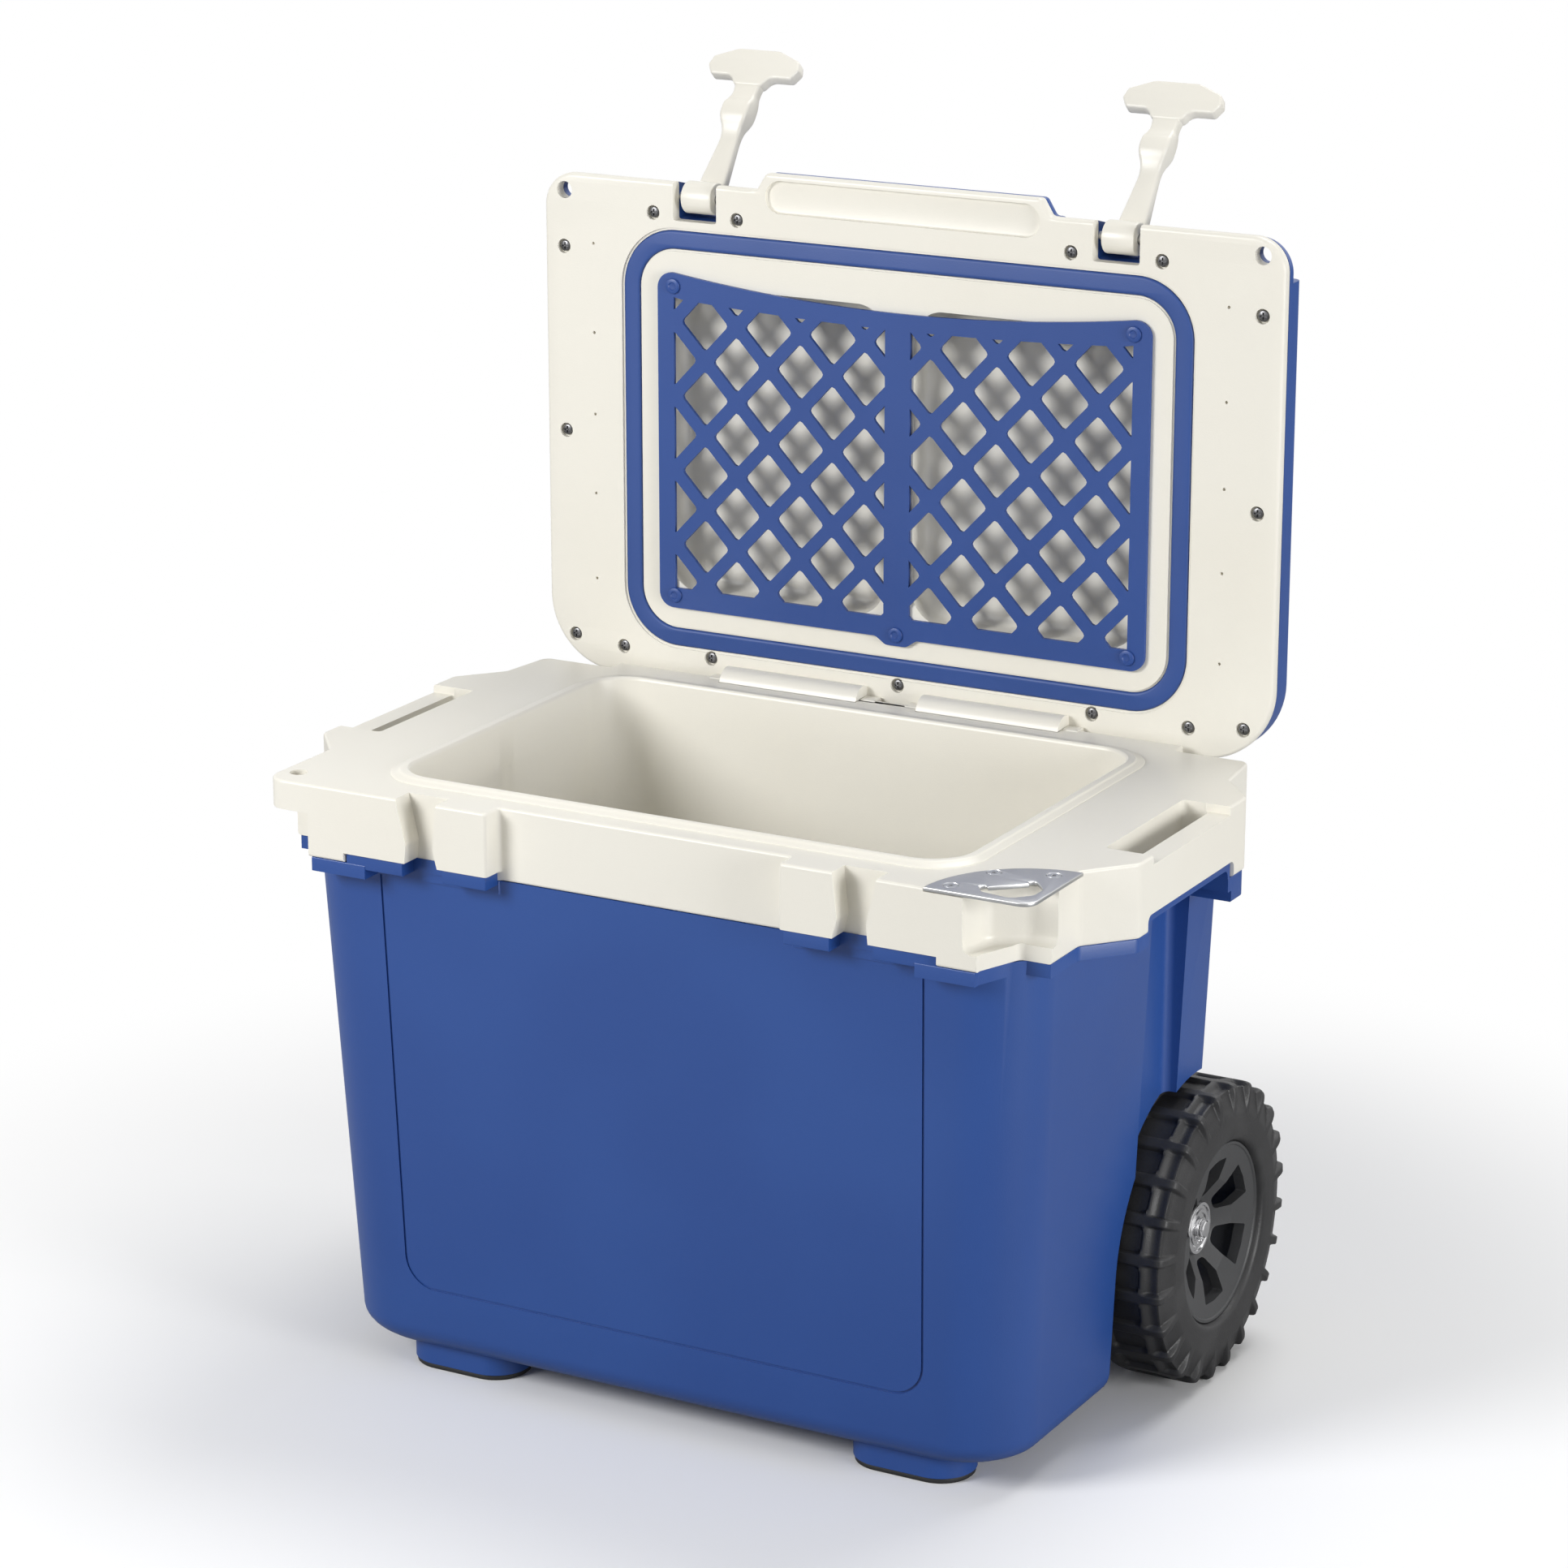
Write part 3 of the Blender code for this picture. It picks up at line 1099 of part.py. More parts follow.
def lid_cavity(name, inset, low, high):
    """Hollow of the lid shell, clear of its thin corners and latch slots."""
    edge = LID_WALL + LID_EDGE_INSET + inset
    corner = [
        (LID_HALF_WIDTH - edge, -LID_FRONT_REACH + edge, 0.0),
        (LID_HALF_WIDTH - edge, -LID_REAR_REACH - edge, LID_REAR_RADIUS - edge),
    ]
    hollow = prism(name, [fillet(mirrored(corner))], low, high)
    for side in (-1, 1):
        ends = sorted((side * (THIN_CORNER_X - edge), side * LID_HALF_WIDTH))
        cut(hollow, box(f"{name}_corner_{side_name(side)}",
                        (ends[0], -LIP_REACH - OVERRUN, low - OVERRUN),
                        (ends[1], -THIN_CORNER_REACH + edge, high + OVERRUN)))
        reach = LATCH_SLOT_HALF_WIDTH + LID_WALL + inset
        cut(hollow, box(f"{name}_slot_{side_name(side)}",
                        (side * LATCH_X - reach, -LIP_REACH - OVERRUN, low - OVERRUN),
                        (side * LATCH_X + reach, -LATCH_SLOT_REACH + LID_WALL + inset, high + OVERRUN)))
    return hollow


def latch_slot(owner, side):
    high = lift(LID_TOTAL_THICKNESS + OVERRUN)
    return box(f"{owner}_latch_slot_{side_name(side)}",
               (side * LATCH_X - LATCH_SLOT_HALF_WIDTH, -LIP_REACH - OVERRUN, lift(-OVERRUN)),
               (side * LATCH_X + LATCH_SLOT_HALF_WIDTH, -LATCH_SLOT_REACH, high))


def padlock_hole(owner, side):
    place_y = -PADLOCK_REACH
    return rod(f"{owner}_padlock_{side_name(side)}", (side * PADLOCK_X, place_y, lift(-OVERRUN)),
               (side * PADLOCK_X, place_y, lift(LID_SIDE_THICKNESS)), PADLOCK_RADIUS)


def screw_places():
    """Centres (x, reach) of the lid's screws."""
    places = [(0.0, SCREW_HINGE_REACH)]
    for side in (-1, 1):
        places += [(side * SCREW_SIDE_X, reach) for reach in SCREW_SIDE_REACHES]
        places.append((side * SCREW_CORNER_X, SCREW_CORNER_REACH))
        places += [(side * (RIM_HALF_WIDTH - inset), SCREW_FRONT_REACH) for inset in SCREW_FRONT_INSETS]
        places += [(side * (RIM_HALF_WIDTH - inset), SCREW_HINGE_REACH) for inset in SCREW_HINGE_INSETS]
    return places


def bay_solid(name, side, grow, depth):
    corners = rectangle(BAY_INNER_X - grow, BAY_OUTER_X + grow, -BAY_FRONT_REACH - grow,
                        -BAY_REAR_REACH + grow, BAY_RADIUS + grow)
    outline = [(side * x, y) for x, y in fillet(corners)]
    low = lift(-OVERRUN) if grow == 0 else lift(LID_LINER_THICKNESS / 2)
    return prism(f"{name}_{side_name(side)}", [outline], low, lift(depth + grow))


def seal_outline(inset):
    corners = rectangle(inset - SEAL_HALF_WIDTH, SEAL_HALF_WIDTH - inset, -SEAL_FRONT_REACH + inset,
                        -SEAL_REAR_REACH - inset, SEAL_RADIUS - inset)
    return fillet(corners)


def peg_places():
    places = [(0.0, PEG_MIDDLE_REACH)]
    for side in (-1, 1):
        places += [(side * PEG_X, PEG_REAR_REACH), (side * PEG_X, PEG_FRONT_REACH)]
    return places


def screw_bore(owner, index, x, reach):
    """Bore for a lid screw's shank, which ends inside the shell's foam."""
    end = COUNTERBORE_DEPTH + SCREW_SHANK + CLEARANCE
    return rod(f"{owner}_screw_bore_{index}", (x, -reach, lift(COUNTERBORE_DEPTH - CLEARANCE)),
               (x, -reach, lift(end)), SCREW_SHANK_RADIUS + CLEARANCE, steps=SMALL_ROUND_STEPS - 2)


def peg_bore(owner, index, x, reach):
    return rod(f"{owner}_peg_bore_{index}", (x, -reach, lift(-NET_PROUD - OVERRUN)),
               (x, -reach, lift(PEG_STEM)), PEG_STEM_RADIUS + CLEARANCE, steps=SMALL_ROUND_STEPS - 2)


def make_lid_liner():
    liner = prism("lid_liner", [lid_plan(0.0)], lift(0.0), lift(LID_LINER_THICKNESS), CREAM)
    join(liner, prism("lid_liner_lip", [lip_plan(0.0)], lift(0.0), lift(LID_LINER_THICKNESS)))
    for side in (-1, 1):
        knuckle = rod(f"lid_knuckle_{side_name(side)}", (side * KNUCKLE_INNER_X, 0, 0),
                      (side * KNUCKLE_OUTER_X, 0, 0), KNUCKLE_RADIUS)
        cut(knuckle, box(f"lid_knuckle_trim_{side_name(side)}",
                         (-RIM_HALF_WIDTH, -KNUCKLE_RADIUS - OVERRUN, lift(LID_LINER_THICKNESS / 2)),
                         (RIM_HALF_WIDTH, KNUCKLE_RADIUS + OVERRUN, lift(LID_SIDE_THICKNESS))))
        join(liner, knuckle, bay_solid("lid_bay_outer", side, BAY_WALL, BAY_DEPTH))
    for side in (-1, 1):
        bore = rod(f"lid_pin_bore_{side_name(side)}", (side * (KNUCKLE_INNER_X - OVERRUN), 0, 0),
                   (side * (KNUCKLE_OUTER_X + OVERRUN), 0, 0), PIN_RADIUS + CLEARANCE,
                   steps=SMALL_ROUND_STEPS)
        cut(liner, bore, bay_solid("lid_bay_inner", side, 0.0, BAY_DEPTH))
        cut(liner, latch_slot("lid_liner", side), padlock_hole("lid_liner", side))
    groove = prism("lid_groove", [seal_outline(-CLEARANCE), seal_outline(SEAL_WIDTH + CLEARANCE)],
                   lift(-OVERRUN), lift(SEAL_DEPTH + CLEARANCE))
    trough_radius = (LIP_TROUGH_OUTER_REACH - LIP_TROUGH_INNER_REACH) / 2 - CLEARANCE
    trough = fillet(rectangle(-LIP_HALF_WIDTH, LIP_HALF_WIDTH, -LIP_TROUGH_OUTER_REACH,
                              -LIP_TROUGH_INNER_REACH, trough_radius))
    cut(liner, groove, prism("lid_trough", [trough], lift(-OVERRUN), lift(LIP_TROUGH_DEPTH)))
    for index, (x, reach) in enumerate(screw_places()):
        cut(liner, rod(f"lid_counterbore_{index}", (x, -reach, lift(-OVERRUN)),
                       (x, -reach, lift(COUNTERBORE_DEPTH)), COUNTERBORE_RADIUS, steps=SMALL_ROUND_STEPS))
        cut(liner, screw_bore("lid_liner", index, x, reach))
    for index, (x, reach) in enumerate(peg_places()):
        cut(liner, peg_bore("lid_liner", index, x, reach))
    return hang(liner)


def make_lid_shell():
    """Blue dome of the lid."""
    base = lift(LID_LINER_THICKNESS + CLEARANCE)
    edge_levels = [(base, LID_EDGE_INSET)]
    for step in range(CORNER_STEPS):
        turn = math.pi / 2 * step / (CORNER_STEPS - 1)
        height = LID_SIDE_THICKNESS - LID_EDGE_RADIUS * (1 - math.sin(turn))
        edge_levels.append((lift(height), LID_EDGE_INSET + LID_EDGE_RADIUS * (1 - math.cos(turn))))
    top = lift(LID_TOTAL_THICKNESS)
    edge_levels.append((lift(LID_SIDE_THICKNESS + LID_EDGE_INSET), LID_TOP_INSET))
    edge_levels.append((top, LID_TOP_INSET + LID_TOP_SLOPE))
    rings = [[(x, y, height) for x, y in lid_plan(inset)] for height, inset in edge_levels]
    shell = loft("lid_shell", rings, BLUE)
    lip = prism("lid_shell_lip", [lip_plan(LID_EDGE_INSET)], base, lift(LID_SIDE_THICKNESS / 2))
    join(shell, lip)
    for side in (-1, 1):
        ends = sorted((side * THIN_CORNER_X, side * (LID_HALF_WIDTH + OVERRUN)))
        thin = box(f"lid_thin_corner_{side_name(side)}",
                   (ends[0], -LID_FRONT_REACH - OVERRUN, lift(THIN_CORNER_THICKNESS)),
                   (ends[1], -THIN_CORNER_REACH, lift(LID_TOTAL_THICKNESS + OVERRUN)))
        cut(shell, thin, latch_slot("lid_shell", side), padlock_hole("lid_shell", side))
    cut(shell, lid_cavity("lid_shell_hollow", 0.0, base - OVERRUN, lift(LID_SIDE_THICKNESS - LID_WALL)))
    for side in (-1, 1):
        cut(shell, latch_pin_rod(f"lid_shell_pin_bore_{side_name(side)}", side, CLEARANCE))
    return hang(shell)


def latch_pin_rod(name, side, grow, material=None):
    reach = LATCH_PIN_HALF_LENGTH + grow
    return rod(name, (side * LATCH_X - reach, -LATCH_REACH, lift(LATCH_LIFT)),
               (side * LATCH_X + reach, -LATCH_REACH, lift(LATCH_LIFT)), LATCH_PIN_RADIUS + grow,
               material)


def make_lid_foam():
    low = lift(LID_LINER_THICKNESS + CLEARANCE)
    high = lift(LID_SIDE_THICKNESS - LID_WALL - CLEARANCE)
    foam = lid_cavity("lid_foam", CLEARANCE, low, high)
    TOOLS.objects.unlink(foam)
    PARTS.objects.link(foam)
    foam.data.materials.append(FOAM)
    foam.hide_render = False
    foam.display_type = "TEXTURED"
    for side in (-1, 1):
        cut(foam, bay_solid("foam_bay", side, BAY_WALL + CLEARANCE, BAY_DEPTH))
    for index, (x, reach) in enumerate(screw_places()):
        cut(foam, screw_bore("lid_foam", index, x, reach))
    return hang(foam)


def make_seal():
    outlines = [seal_outline(0.0), seal_outline(SEAL_WIDTH)]
    seal = prism("lid_seal", outlines, lift(0.0), lift(SEAL_DEPTH), SEAL_BLUE)
    return hang(seal)


def clip(polygon, inside, cross):
    """Part of a convex polygon for which inside(point) holds."""
    kept = []
    for index, point in enumerate(polygon):
        last = polygon[index - 1]
        if inside(point) != inside(last):
            kept.append(cross(last, point))
        if inside(point):
            kept.append(point)
    return kept


def clip_to_line(polygon, origin, normal):
    """Keeps what lies on the side that normal points to."""
    def distance(point):
        return (point[0] - origin[0]) * normal[0] + (point[1] - origin[1]) * normal[1]

    def cross(first, second):
        share = distance(first) / (distance(first) - distance(second))
        return (first[0] + (second[0] - first[0]) * share, first[1] + (second[1] - first[1]) * share)

    return clip(polygon, lambda point: distance(point) >= 0, cross)


def polygon_area(polygon):
    pairs = zip(polygon, polygon[1:] + polygon[:1])
    return abs(sum(a[0] * b[1] - b[0] * a[1] for a, b in pairs)) / 2


def net_gaps(side):
    """Diamond gaps of the net's right or left half, cut by its window."""
    rise = NET_WINDOW_CORNER_REACH - NET_WINDOW_MIDDLE_REACH
    span = NET_WINDOW_OUTER_X - NET_WINDOW_INNER_X
    gaps = []
    for column in range(NET_COLUMNS + 1):
        shift = NET_STEP_REACH if column % 2 else 0.0
        for row in range(-1, NET_ROWS):
            x = NET_STEP_X * column
            reach = NET_FIRST_REACH + shift + 2 * NET_STEP_REACH * row
            wide = NET_STEP_X * NET_GAP_SHARE
            high = NET_STEP_REACH * NET_GAP_SHARE
            gap = [(x + wide, reach), (x, reach + high), (x - wide, reach), (x, reach - high)]
            gap = clip_to_line(gap, (NET_WINDOW_INNER_X, 0.0), (1, 0))
            gap = clip_to_line(gap, (NET_WINDOW_OUTER_X, 0.0), (-1, 0))
            gap = clip_to_line(gap, (0.0, NET_WINDOW_REAR_REACH), (0, 1))
            gap = clip_to_line(gap, (NET_WINDOW_INNER_X, NET_WINDOW_MIDDLE_REACH), (rise, -span))
            gap = [point for index, point in enumerate(gap)
                   if math.dist(point, gap[index - 1]) > NET_SMALLEST_EDGE]
            if len(gap) < 3 or polygon_area(gap) < NET_SMALLEST_GAP ** 2:
                continue
            if min(math.dist(point, place) for point in gap for place in peg_places()) > NET_PEG_CLEARANCE:
                gaps.append([(side * px, -py) for px, py in gap])
    return gaps


def make_cargo_net():
    """Flat net with every gap open."""
    dip = NET_CORNER_REACH - NET_MIDDLE_REACH
    top = []
    for step in range(1, SMALL_ROUND_STEPS):
        share = 2 * step / SMALL_ROUND_STEPS - 1
        top.append((NET_HALF_WIDTH * share, -(NET_MIDDLE_REACH + dip * share * share), 0.0))
    corners = [(-NET_HALF_WIDTH, -NET_CORNER_REACH, NET_CORNER_RADIUS)] + top
    corners += [(NET_HALF_WIDTH, -NET_CORNER_REACH, NET_CORNER_RADIUS),
                (NET_HALF_WIDTH, -NET_REAR_REACH, NET_CORNER_RADIUS),
                (NET_TAB_HALF_WIDTH, -NET_REAR_REACH, 0.0),
                (NET_TAB_HALF_WIDTH / 2, -NET_TAB_REACH, NET_TAB_RADIUS),
                (-NET_TAB_HALF_WIDTH / 2, -NET_TAB_REACH, NET_TAB_RADIUS),
                (-NET_TAB_HALF_WIDTH, -NET_REAR_REACH, 0.0),
                (-NET_HALF_WIDTH, -NET_REAR_REACH, NET_CORNER_RADIUS)]
    outlines = [fillet(corners)] + net_gaps(-1) + net_gaps(1)
    net = prism("cargo_net", outlines, lift(-NET_PROUD), lift(NET_THICKNESS - NET_PROUD), BLUE)
    for index, (x, reach) in enumerate(peg_places()):
        cut(net, peg_bore("cargo_net", index, x, reach))
    return hang(net)


def make_net_peg(index, x, reach):
    stem = PEG_STEM + NET_PROUD
    profile = [(0.0, PEG_HEAD), (PEG_RADIUS, PEG_HEAD), (PEG_RADIUS, 0.0), (PEG_STEM_RADIUS, 0.0),
               (PEG_STEM_RADIUS, -stem), (0.0, -stem)]
    peg = turned(f"net_peg_{index + 1}", profile, SMALL_ROUND_STEPS, BLUE)
    return hang(peg, upside_down(x, reach, -NET_PROUD - CLEARANCE))


def upside_down(x, reach, depth):
    """Frame of a small piece that is put into the lid from below."""
    place_in_lid = Matrix.Translation((x, -reach, lift(depth)))
    return LID_FRAME @ place_in_lid @ Matrix.Rotation(math.pi, 4, "X")


def make_lid_screw(index, x, reach):
    screw = turned(f"lid_screw_{index + 1}", screw_profile(SCREW_HEAD), SMALL_ROUND_STEPS, DARK_STEEL)
    return hang(screw, upside_down(x, reach, COUNTERBORE_DEPTH - CLEARANCE))


def make_latch(side):
    """Moulded latch, drawn hanging down and then leaned back on its pin."""
    name = side_name(side)
    half = BARREL_HALF_WIDTH
    arm_side = [(half * width, -ARM_LENGTH * share) for share, width in ARM_OUTLINE_SHARES]
    neck = (arm_side[-1][0], -ARM_LENGTH)
    arm_half = arm_side + [neck]
    outline = arm_half + [(-x, z) for x, z in reversed(arm_half)]
    latch = rod(f"latch_{name}", (-half, 0, 0), (half, 0, 0), BARREL_RADIUS, CREAM)
    arm = prism(f"latch_arm_{name}", [outline], ARM_BACK, ARM_FRONT, turn=ALONG_Y)
    block = fillet(rectangle(-BULGE_HALF_WIDTH, BULGE_HALF_WIDTH, -BULGE_END, -BULGE_START,
                             RIM_SMALL_RADIUS))
    bulge = prism(f"latch_bulge_{name}", [block], ARM_BACK - BULGE_BACK, BULGE_FRONT, turn=ALONG_Y)
    tee_half = [(TEE_HALF_WIDTH * wide, -TEE_CENTRE + TEE_HALF_HEIGHT * high, RIM_SMALL_RADIUS)
                for wide, high in TEE_OUTLINE_SHARES]
    tee = prism(f"latch_tee_{name}", [fillet(mirrored(tee_half))], TEE_BACK, TEE_FRONT, turn=ALONG_Y)
    join(latch, arm, bulge, tee)
    bore = rod(f"latch_bore_{name}", (-half - OVERRUN, 0, 0), (half + OVERRUN, 0, 0),
               LATCH_PIN_RADIUS + CLEARANCE)
    cut(latch, bore)
    pivot = Matrix.Translation((side * LATCH_X, -LATCH_REACH, lift(LATCH_LIFT)))
    hang(latch, LID_FRAME @ pivot @ Matrix.Rotation(-LATCH_TURN, 4, "X"))
    return hang(latch_pin_rod(f"latch_pin_{name}", side, 0.0, STEEL))


def make_hinge_pin(side):
    start, end = pin_span(side, 0.0)
    return rod(f"hinge_pin_{side_name(side)}", start, end, PIN_RADIUS, STEEL, SMALL_ROUND_STEPS)


def build():
    make_outer_shell()
    make_inner_liner()
    make_body_foam()
    make_drain_plug()
    make_opener()
    make_handle()
    make_lid_liner()
    make_lid_shell()
    make_lid_foam()
    make_seal()
    make_cargo_net()
    for make in (make_foot_pad, make_wheel, make_latch, make_hinge_pin):
        both_sides(make)
    for index, (x, reach) in enumerate(peg_places()):
        make_net_peg(index, x, reach)
    for index, (x, reach) in enumerate(screw_places()):
        make_lid_screw(index, x, reach)
    for item in PARTS.objects:
        if len(item.modifiers) > 1:
            merge_flat_faces(item)


build()
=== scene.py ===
# %% [markdown]
# # A wheeled cooler with its lid open
# The solids of the cooler come in as a fixed frame, one object for each real piece, and this
# lesson dresses them. Big mouldings are drawn again with finer corners and rounded edges, what
# repeats is made by Geometry Nodes, and every finish is a material built from nodes.

# %% Load the frame
import json
import math

import bmesh
import bpy
from mathutils import Euler, Matrix, Vector


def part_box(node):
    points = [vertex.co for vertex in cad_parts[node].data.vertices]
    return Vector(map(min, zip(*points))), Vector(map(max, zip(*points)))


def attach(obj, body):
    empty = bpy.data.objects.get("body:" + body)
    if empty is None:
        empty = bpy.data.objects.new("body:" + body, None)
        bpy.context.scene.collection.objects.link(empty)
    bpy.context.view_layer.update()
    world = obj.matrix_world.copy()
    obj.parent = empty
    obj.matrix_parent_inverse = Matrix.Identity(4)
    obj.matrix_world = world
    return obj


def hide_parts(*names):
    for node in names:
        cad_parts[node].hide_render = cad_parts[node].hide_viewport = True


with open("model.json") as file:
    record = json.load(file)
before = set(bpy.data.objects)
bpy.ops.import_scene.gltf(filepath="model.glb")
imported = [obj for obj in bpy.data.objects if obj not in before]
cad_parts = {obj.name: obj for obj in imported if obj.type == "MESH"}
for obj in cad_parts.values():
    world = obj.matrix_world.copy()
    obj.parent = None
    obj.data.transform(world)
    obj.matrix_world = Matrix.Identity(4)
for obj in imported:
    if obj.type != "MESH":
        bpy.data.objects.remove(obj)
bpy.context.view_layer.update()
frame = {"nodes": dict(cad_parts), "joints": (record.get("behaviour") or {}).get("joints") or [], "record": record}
NODES = frame["nodes"]
JOINTS = {joint["name"]: joint for joint in frame["joints"]}

# %% [markdown]
# ## Where things are
# The lid turns about one axis, so its joint gives the hinge. The deck is the flat top of the rim.
# A point on the open lid is told by x, by its reach from the hinge and by how far it stands out
# of the lid's flat underside. One turn about X takes those three to the world.

# %% Places
HINGE = Vector(JOINTS["lid_hinge"]["pos_m"])
DECK = HINGE.z + 0.0023
HALF_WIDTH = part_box("inner_liner")[1].x
UPRIGHT = Matrix.Rotation(math.pi / 2, 4, "X")
LID_PLANE = Matrix.Translation((0, HINGE.y + 0.0053, HINGE.z)) @ UPRIGHT
ALONG_X = Matrix(((0, 0, 1), (1, 0, 0), (0, 1, 0))).to_4x4()
print("hinge at", tuple(round(value, 4) for value in HINGE))


def behind(reach):
    """World Y at a distance in front of the hinge."""
    return HINGE.y - reach


def below(drop):
    """World Z at a distance below the deck."""
    return DECK - drop


def signed(side, *values):
    """Low and high of two distances from the middle, on the side -1 or 1."""
    return sorted(side * value for value in values)


def side_name(side):
    return "left" if side < 0 else "right"


# %% [markdown]
# ## Node maths as Python
# A material's arithmetic is easier to read as an expression. This class wraps a socket, and each
# operator adds the Math node that does the work. Other nodes come from one method that sets the
# node's own settings first, and then its inputs.

# %% A socket that does arithmetic
class Number:
    """A node socket that carries one number."""

    def __init__(self, maker, socket):
        self.maker = maker
        self.socket = socket

    def maths(self, operation, *others):
        return self.maker.add("ShaderNodeMath", {"operation": operation}, self, *others)

    def __add__(self, other):
        return self.maths("ADD", other)

    def __mul__(self, other):
        return self.maths("MULTIPLY", other)

    def __sub__(self, other):
        return self.maths("SUBTRACT", other)

    def __truediv__(self, other):
        return self.maths("DIVIDE", other)

    def __rsub__(self, other):
        return self.maker.add("ShaderNodeMath", {"operation": "SUBTRACT"}, other, self)

    def __pow__(self, other):
        return self.maths("POWER", other)

    def __abs__(self):
        return self.maths("ABSOLUTE")

    __radd__ = __add__
    __rmul__ = __mul__

    def step(self, low, high):
        """0 below low, 1 above high, smooth between."""
        settings = {"interpolation_type": "SMOOTHSTEP"}
        return self.maker.add("ShaderNodeMapRange", settings, self, low, high, 0.0, 1.0)


class Finish:
    """A material under construction."""

    def __init__(self, name):
        self.material = bpy.data.materials.new(name)
        self.material.use_nodes = True
        self.tree = self.material.node_tree
        self.shader = self.tree.nodes["Principled BSDF"]

    def add(self, kind, settings, *inputs, output=0, **named):
        """Adds a node and gives back one of its outputs."""
        node = self.tree.nodes.new(kind)
        for key, value in settings.items():
            setattr(node, key, value)
        for index, value in list(enumerate(inputs)) + list(named.items()):
            self.feed(node.inputs[index], value)
        return Number(self, node.outputs[output])

    def feed(self, socket, value):
        if isinstance(value, Number):
            self.tree.links.new(value.socket, socket)
        elif value is not None:
            socket.default_value = value

    def set(self, **values):
        """Sets inputs of the shader by name, with underscores for spaces."""
        for name, value in values.items():
            self.feed(self.shader.inputs[name.replace("_", " ")], value)
        return self

    def place(self):
        return self.add("ShaderNodeTexCoord", {}, output="Object")

    def stretched(self, scale):
        return self.add("ShaderNodeMapping", {}, self.place(), Scale=scale)

    def noise(self, size, detail=2.0, where=None, rough=0.5):
        """Noise from 0 to 1 whose lumps are about size metres across."""
        source = where or self.place()
        return self.add("ShaderNodeTexNoise", {}, Vector=source, Scale=1 / size, Detail=detail,
                        Roughness=rough)

    def mix(self, share, first, second):
        settings = {"data_type": "RGBA"}
        node = self.tree.nodes.new("ShaderNodeMix")
        node.data_type = settings["data_type"]
        self.feed(node.inputs[0], share)
        self.feed(node.inputs[6], first)
        self.feed(node.inputs[7], second)
        return Number(self, node.outputs[2])

    def bump(self, height, depth, strength=1.0):
        """Normal from a height map, depth in metres."""
        return self.add("ShaderNodeBump", {}, Strength=strength, Distance=depth, Height=height)


def opaque(red, green, blue):
    return (red, green, blue, 1.0)


# %% [markdown]
# ## Moulded plastic
# The blue and cream parts are moulded plastic with a satin skin. Up close it isn't flat: the tool
# leaves a very fine grain, the colour drifts a little over a hand's width, and rubbed spots shine
# more. Each of these is a noise of its own size that feeds roughness, colour or bump.

# %% Moulded plastic
def moulded(name, colour, deep, roughness, grain=0.00005):
    """Satin plastic that drifts between two close colours."""
    finish = Finish(name)
    drift = finish.noise(0.12, 1.0).step(0.35, 0.65)
    rubbed = finish.noise(0.035, 3.0)
    fine = finish.noise(0.0007, 1.0)
    finish.set(
        Base_Color=finish.mix(drift, opaque(*colour), opaque(*deep)),
        Roughness=rubbed * 0.10 + (roughness - 0.05),
        Normal=finish.bump(fine, grain),
        Specular_IOR_Level=0.5,
    )
    return finish.material


BLUE = moulded("moulded_blue", (0.023, 0.078, 0.300), (0.020, 0.070, 0.280), 0.36)
CREAM = moulded("moulded_cream", (0.850, 0.825, 0.745), (0.840, 0.812, 0.728), 0.34)
NET_BLUE = moulded("moulded_net_blue", (0.021, 0.068, 0.275), (0.019, 0.062, 0.255), 0.42)
SEAL_BLUE = moulded("soft_seal_blue", (0.024, 0.070, 0.270), (0.021, 0.064, 0.250), 0.50)
GREY = moulded("moulded_grey", (0.052, 0.053, 0.055), (0.046, 0.047, 0.049), 0.42, 0.00008)
PAD_BLACK = moulded("black_pad", (0.014, 0.014, 0.015), (0.011, 0.011, 0.012), 0.62, 0.0001)
print("moulded plastics:", BLUE.name, CREAM.name, NET_BLUE.name)

# %% [markdown]
# ## Rubber and metal
# The tyre is matt rubber, greyer where it has been handled. The opener plate is brushed: its
# scratches run one way, so the noise is stretched along X. The axle end is polished. The lid
# screws are a dark polished metal, and that darkness is painted shade for their counterbores.

# %% Rubber and metal
def tyre_rubber():
    finish = Finish("tyre_rubber")
    worn = finish.noise(0.02, 4.0).step(0.4, 0.75)
    pores = finish.noise(0.0009, 2.0)
    finish.set(
        Base_Color=finish.mix(worn, opaque(0.016, 0.016, 0.017), opaque(0.028, 0.028, 0.029)),
        Roughness=worn * 0.12 + 0.46,
        Normal=finish.bump(pores, 0.00012),
    )
    return finish.material


def brushed_steel(name, scale):
    finish = Finish(name)
    scratches = finish.noise(1.0, 4.0, finish.stretched(scale), 0.7)
    finish.set(
        Base_Color=finish.mix(scratches, opaque(0.46, 0.465, 0.47), opaque(0.66, 0.665, 0.67)),
        Metallic=1.0,
        Roughness=scratches * 0.22 + 0.24,
        Normal=finish.bump(scratches, 0.00003),
    )
    return finish.material


def polished(name, tint, roughness):
    finish = Finish(name)
    smears = finish.noise(0.006, 3.0)
    finish.set(
        Base_Color=finish.mix(smears, opaque(*tint), opaque(*(value * 0.85 for value in tint))),
        Metallic=1.0,
        Roughness=smears * 0.08 + roughness,
    )
    return finish.material


TYRE = tyre_rubber()
STEEL = brushed_steel("brushed_plate", (40.0, 3000.0, 3000.0))
TUBE_STEEL = brushed_steel("brushed_tube", (3000.0, 3000.0, 30.0))
CHROME = polished("polished_axle", (0.78, 0.78, 0.79), 0.12)
# The lid screws' dark tint is painted shade, standing in for the shade in their counterbores.
SHADE_PAINTED_SCREW = polished("screw_painted_shade", (0.16, 0.16, 0.165), 0.30)
print("metals:", STEEL.name, CHROME.name, SHADE_PAINTED_SCREW.name)


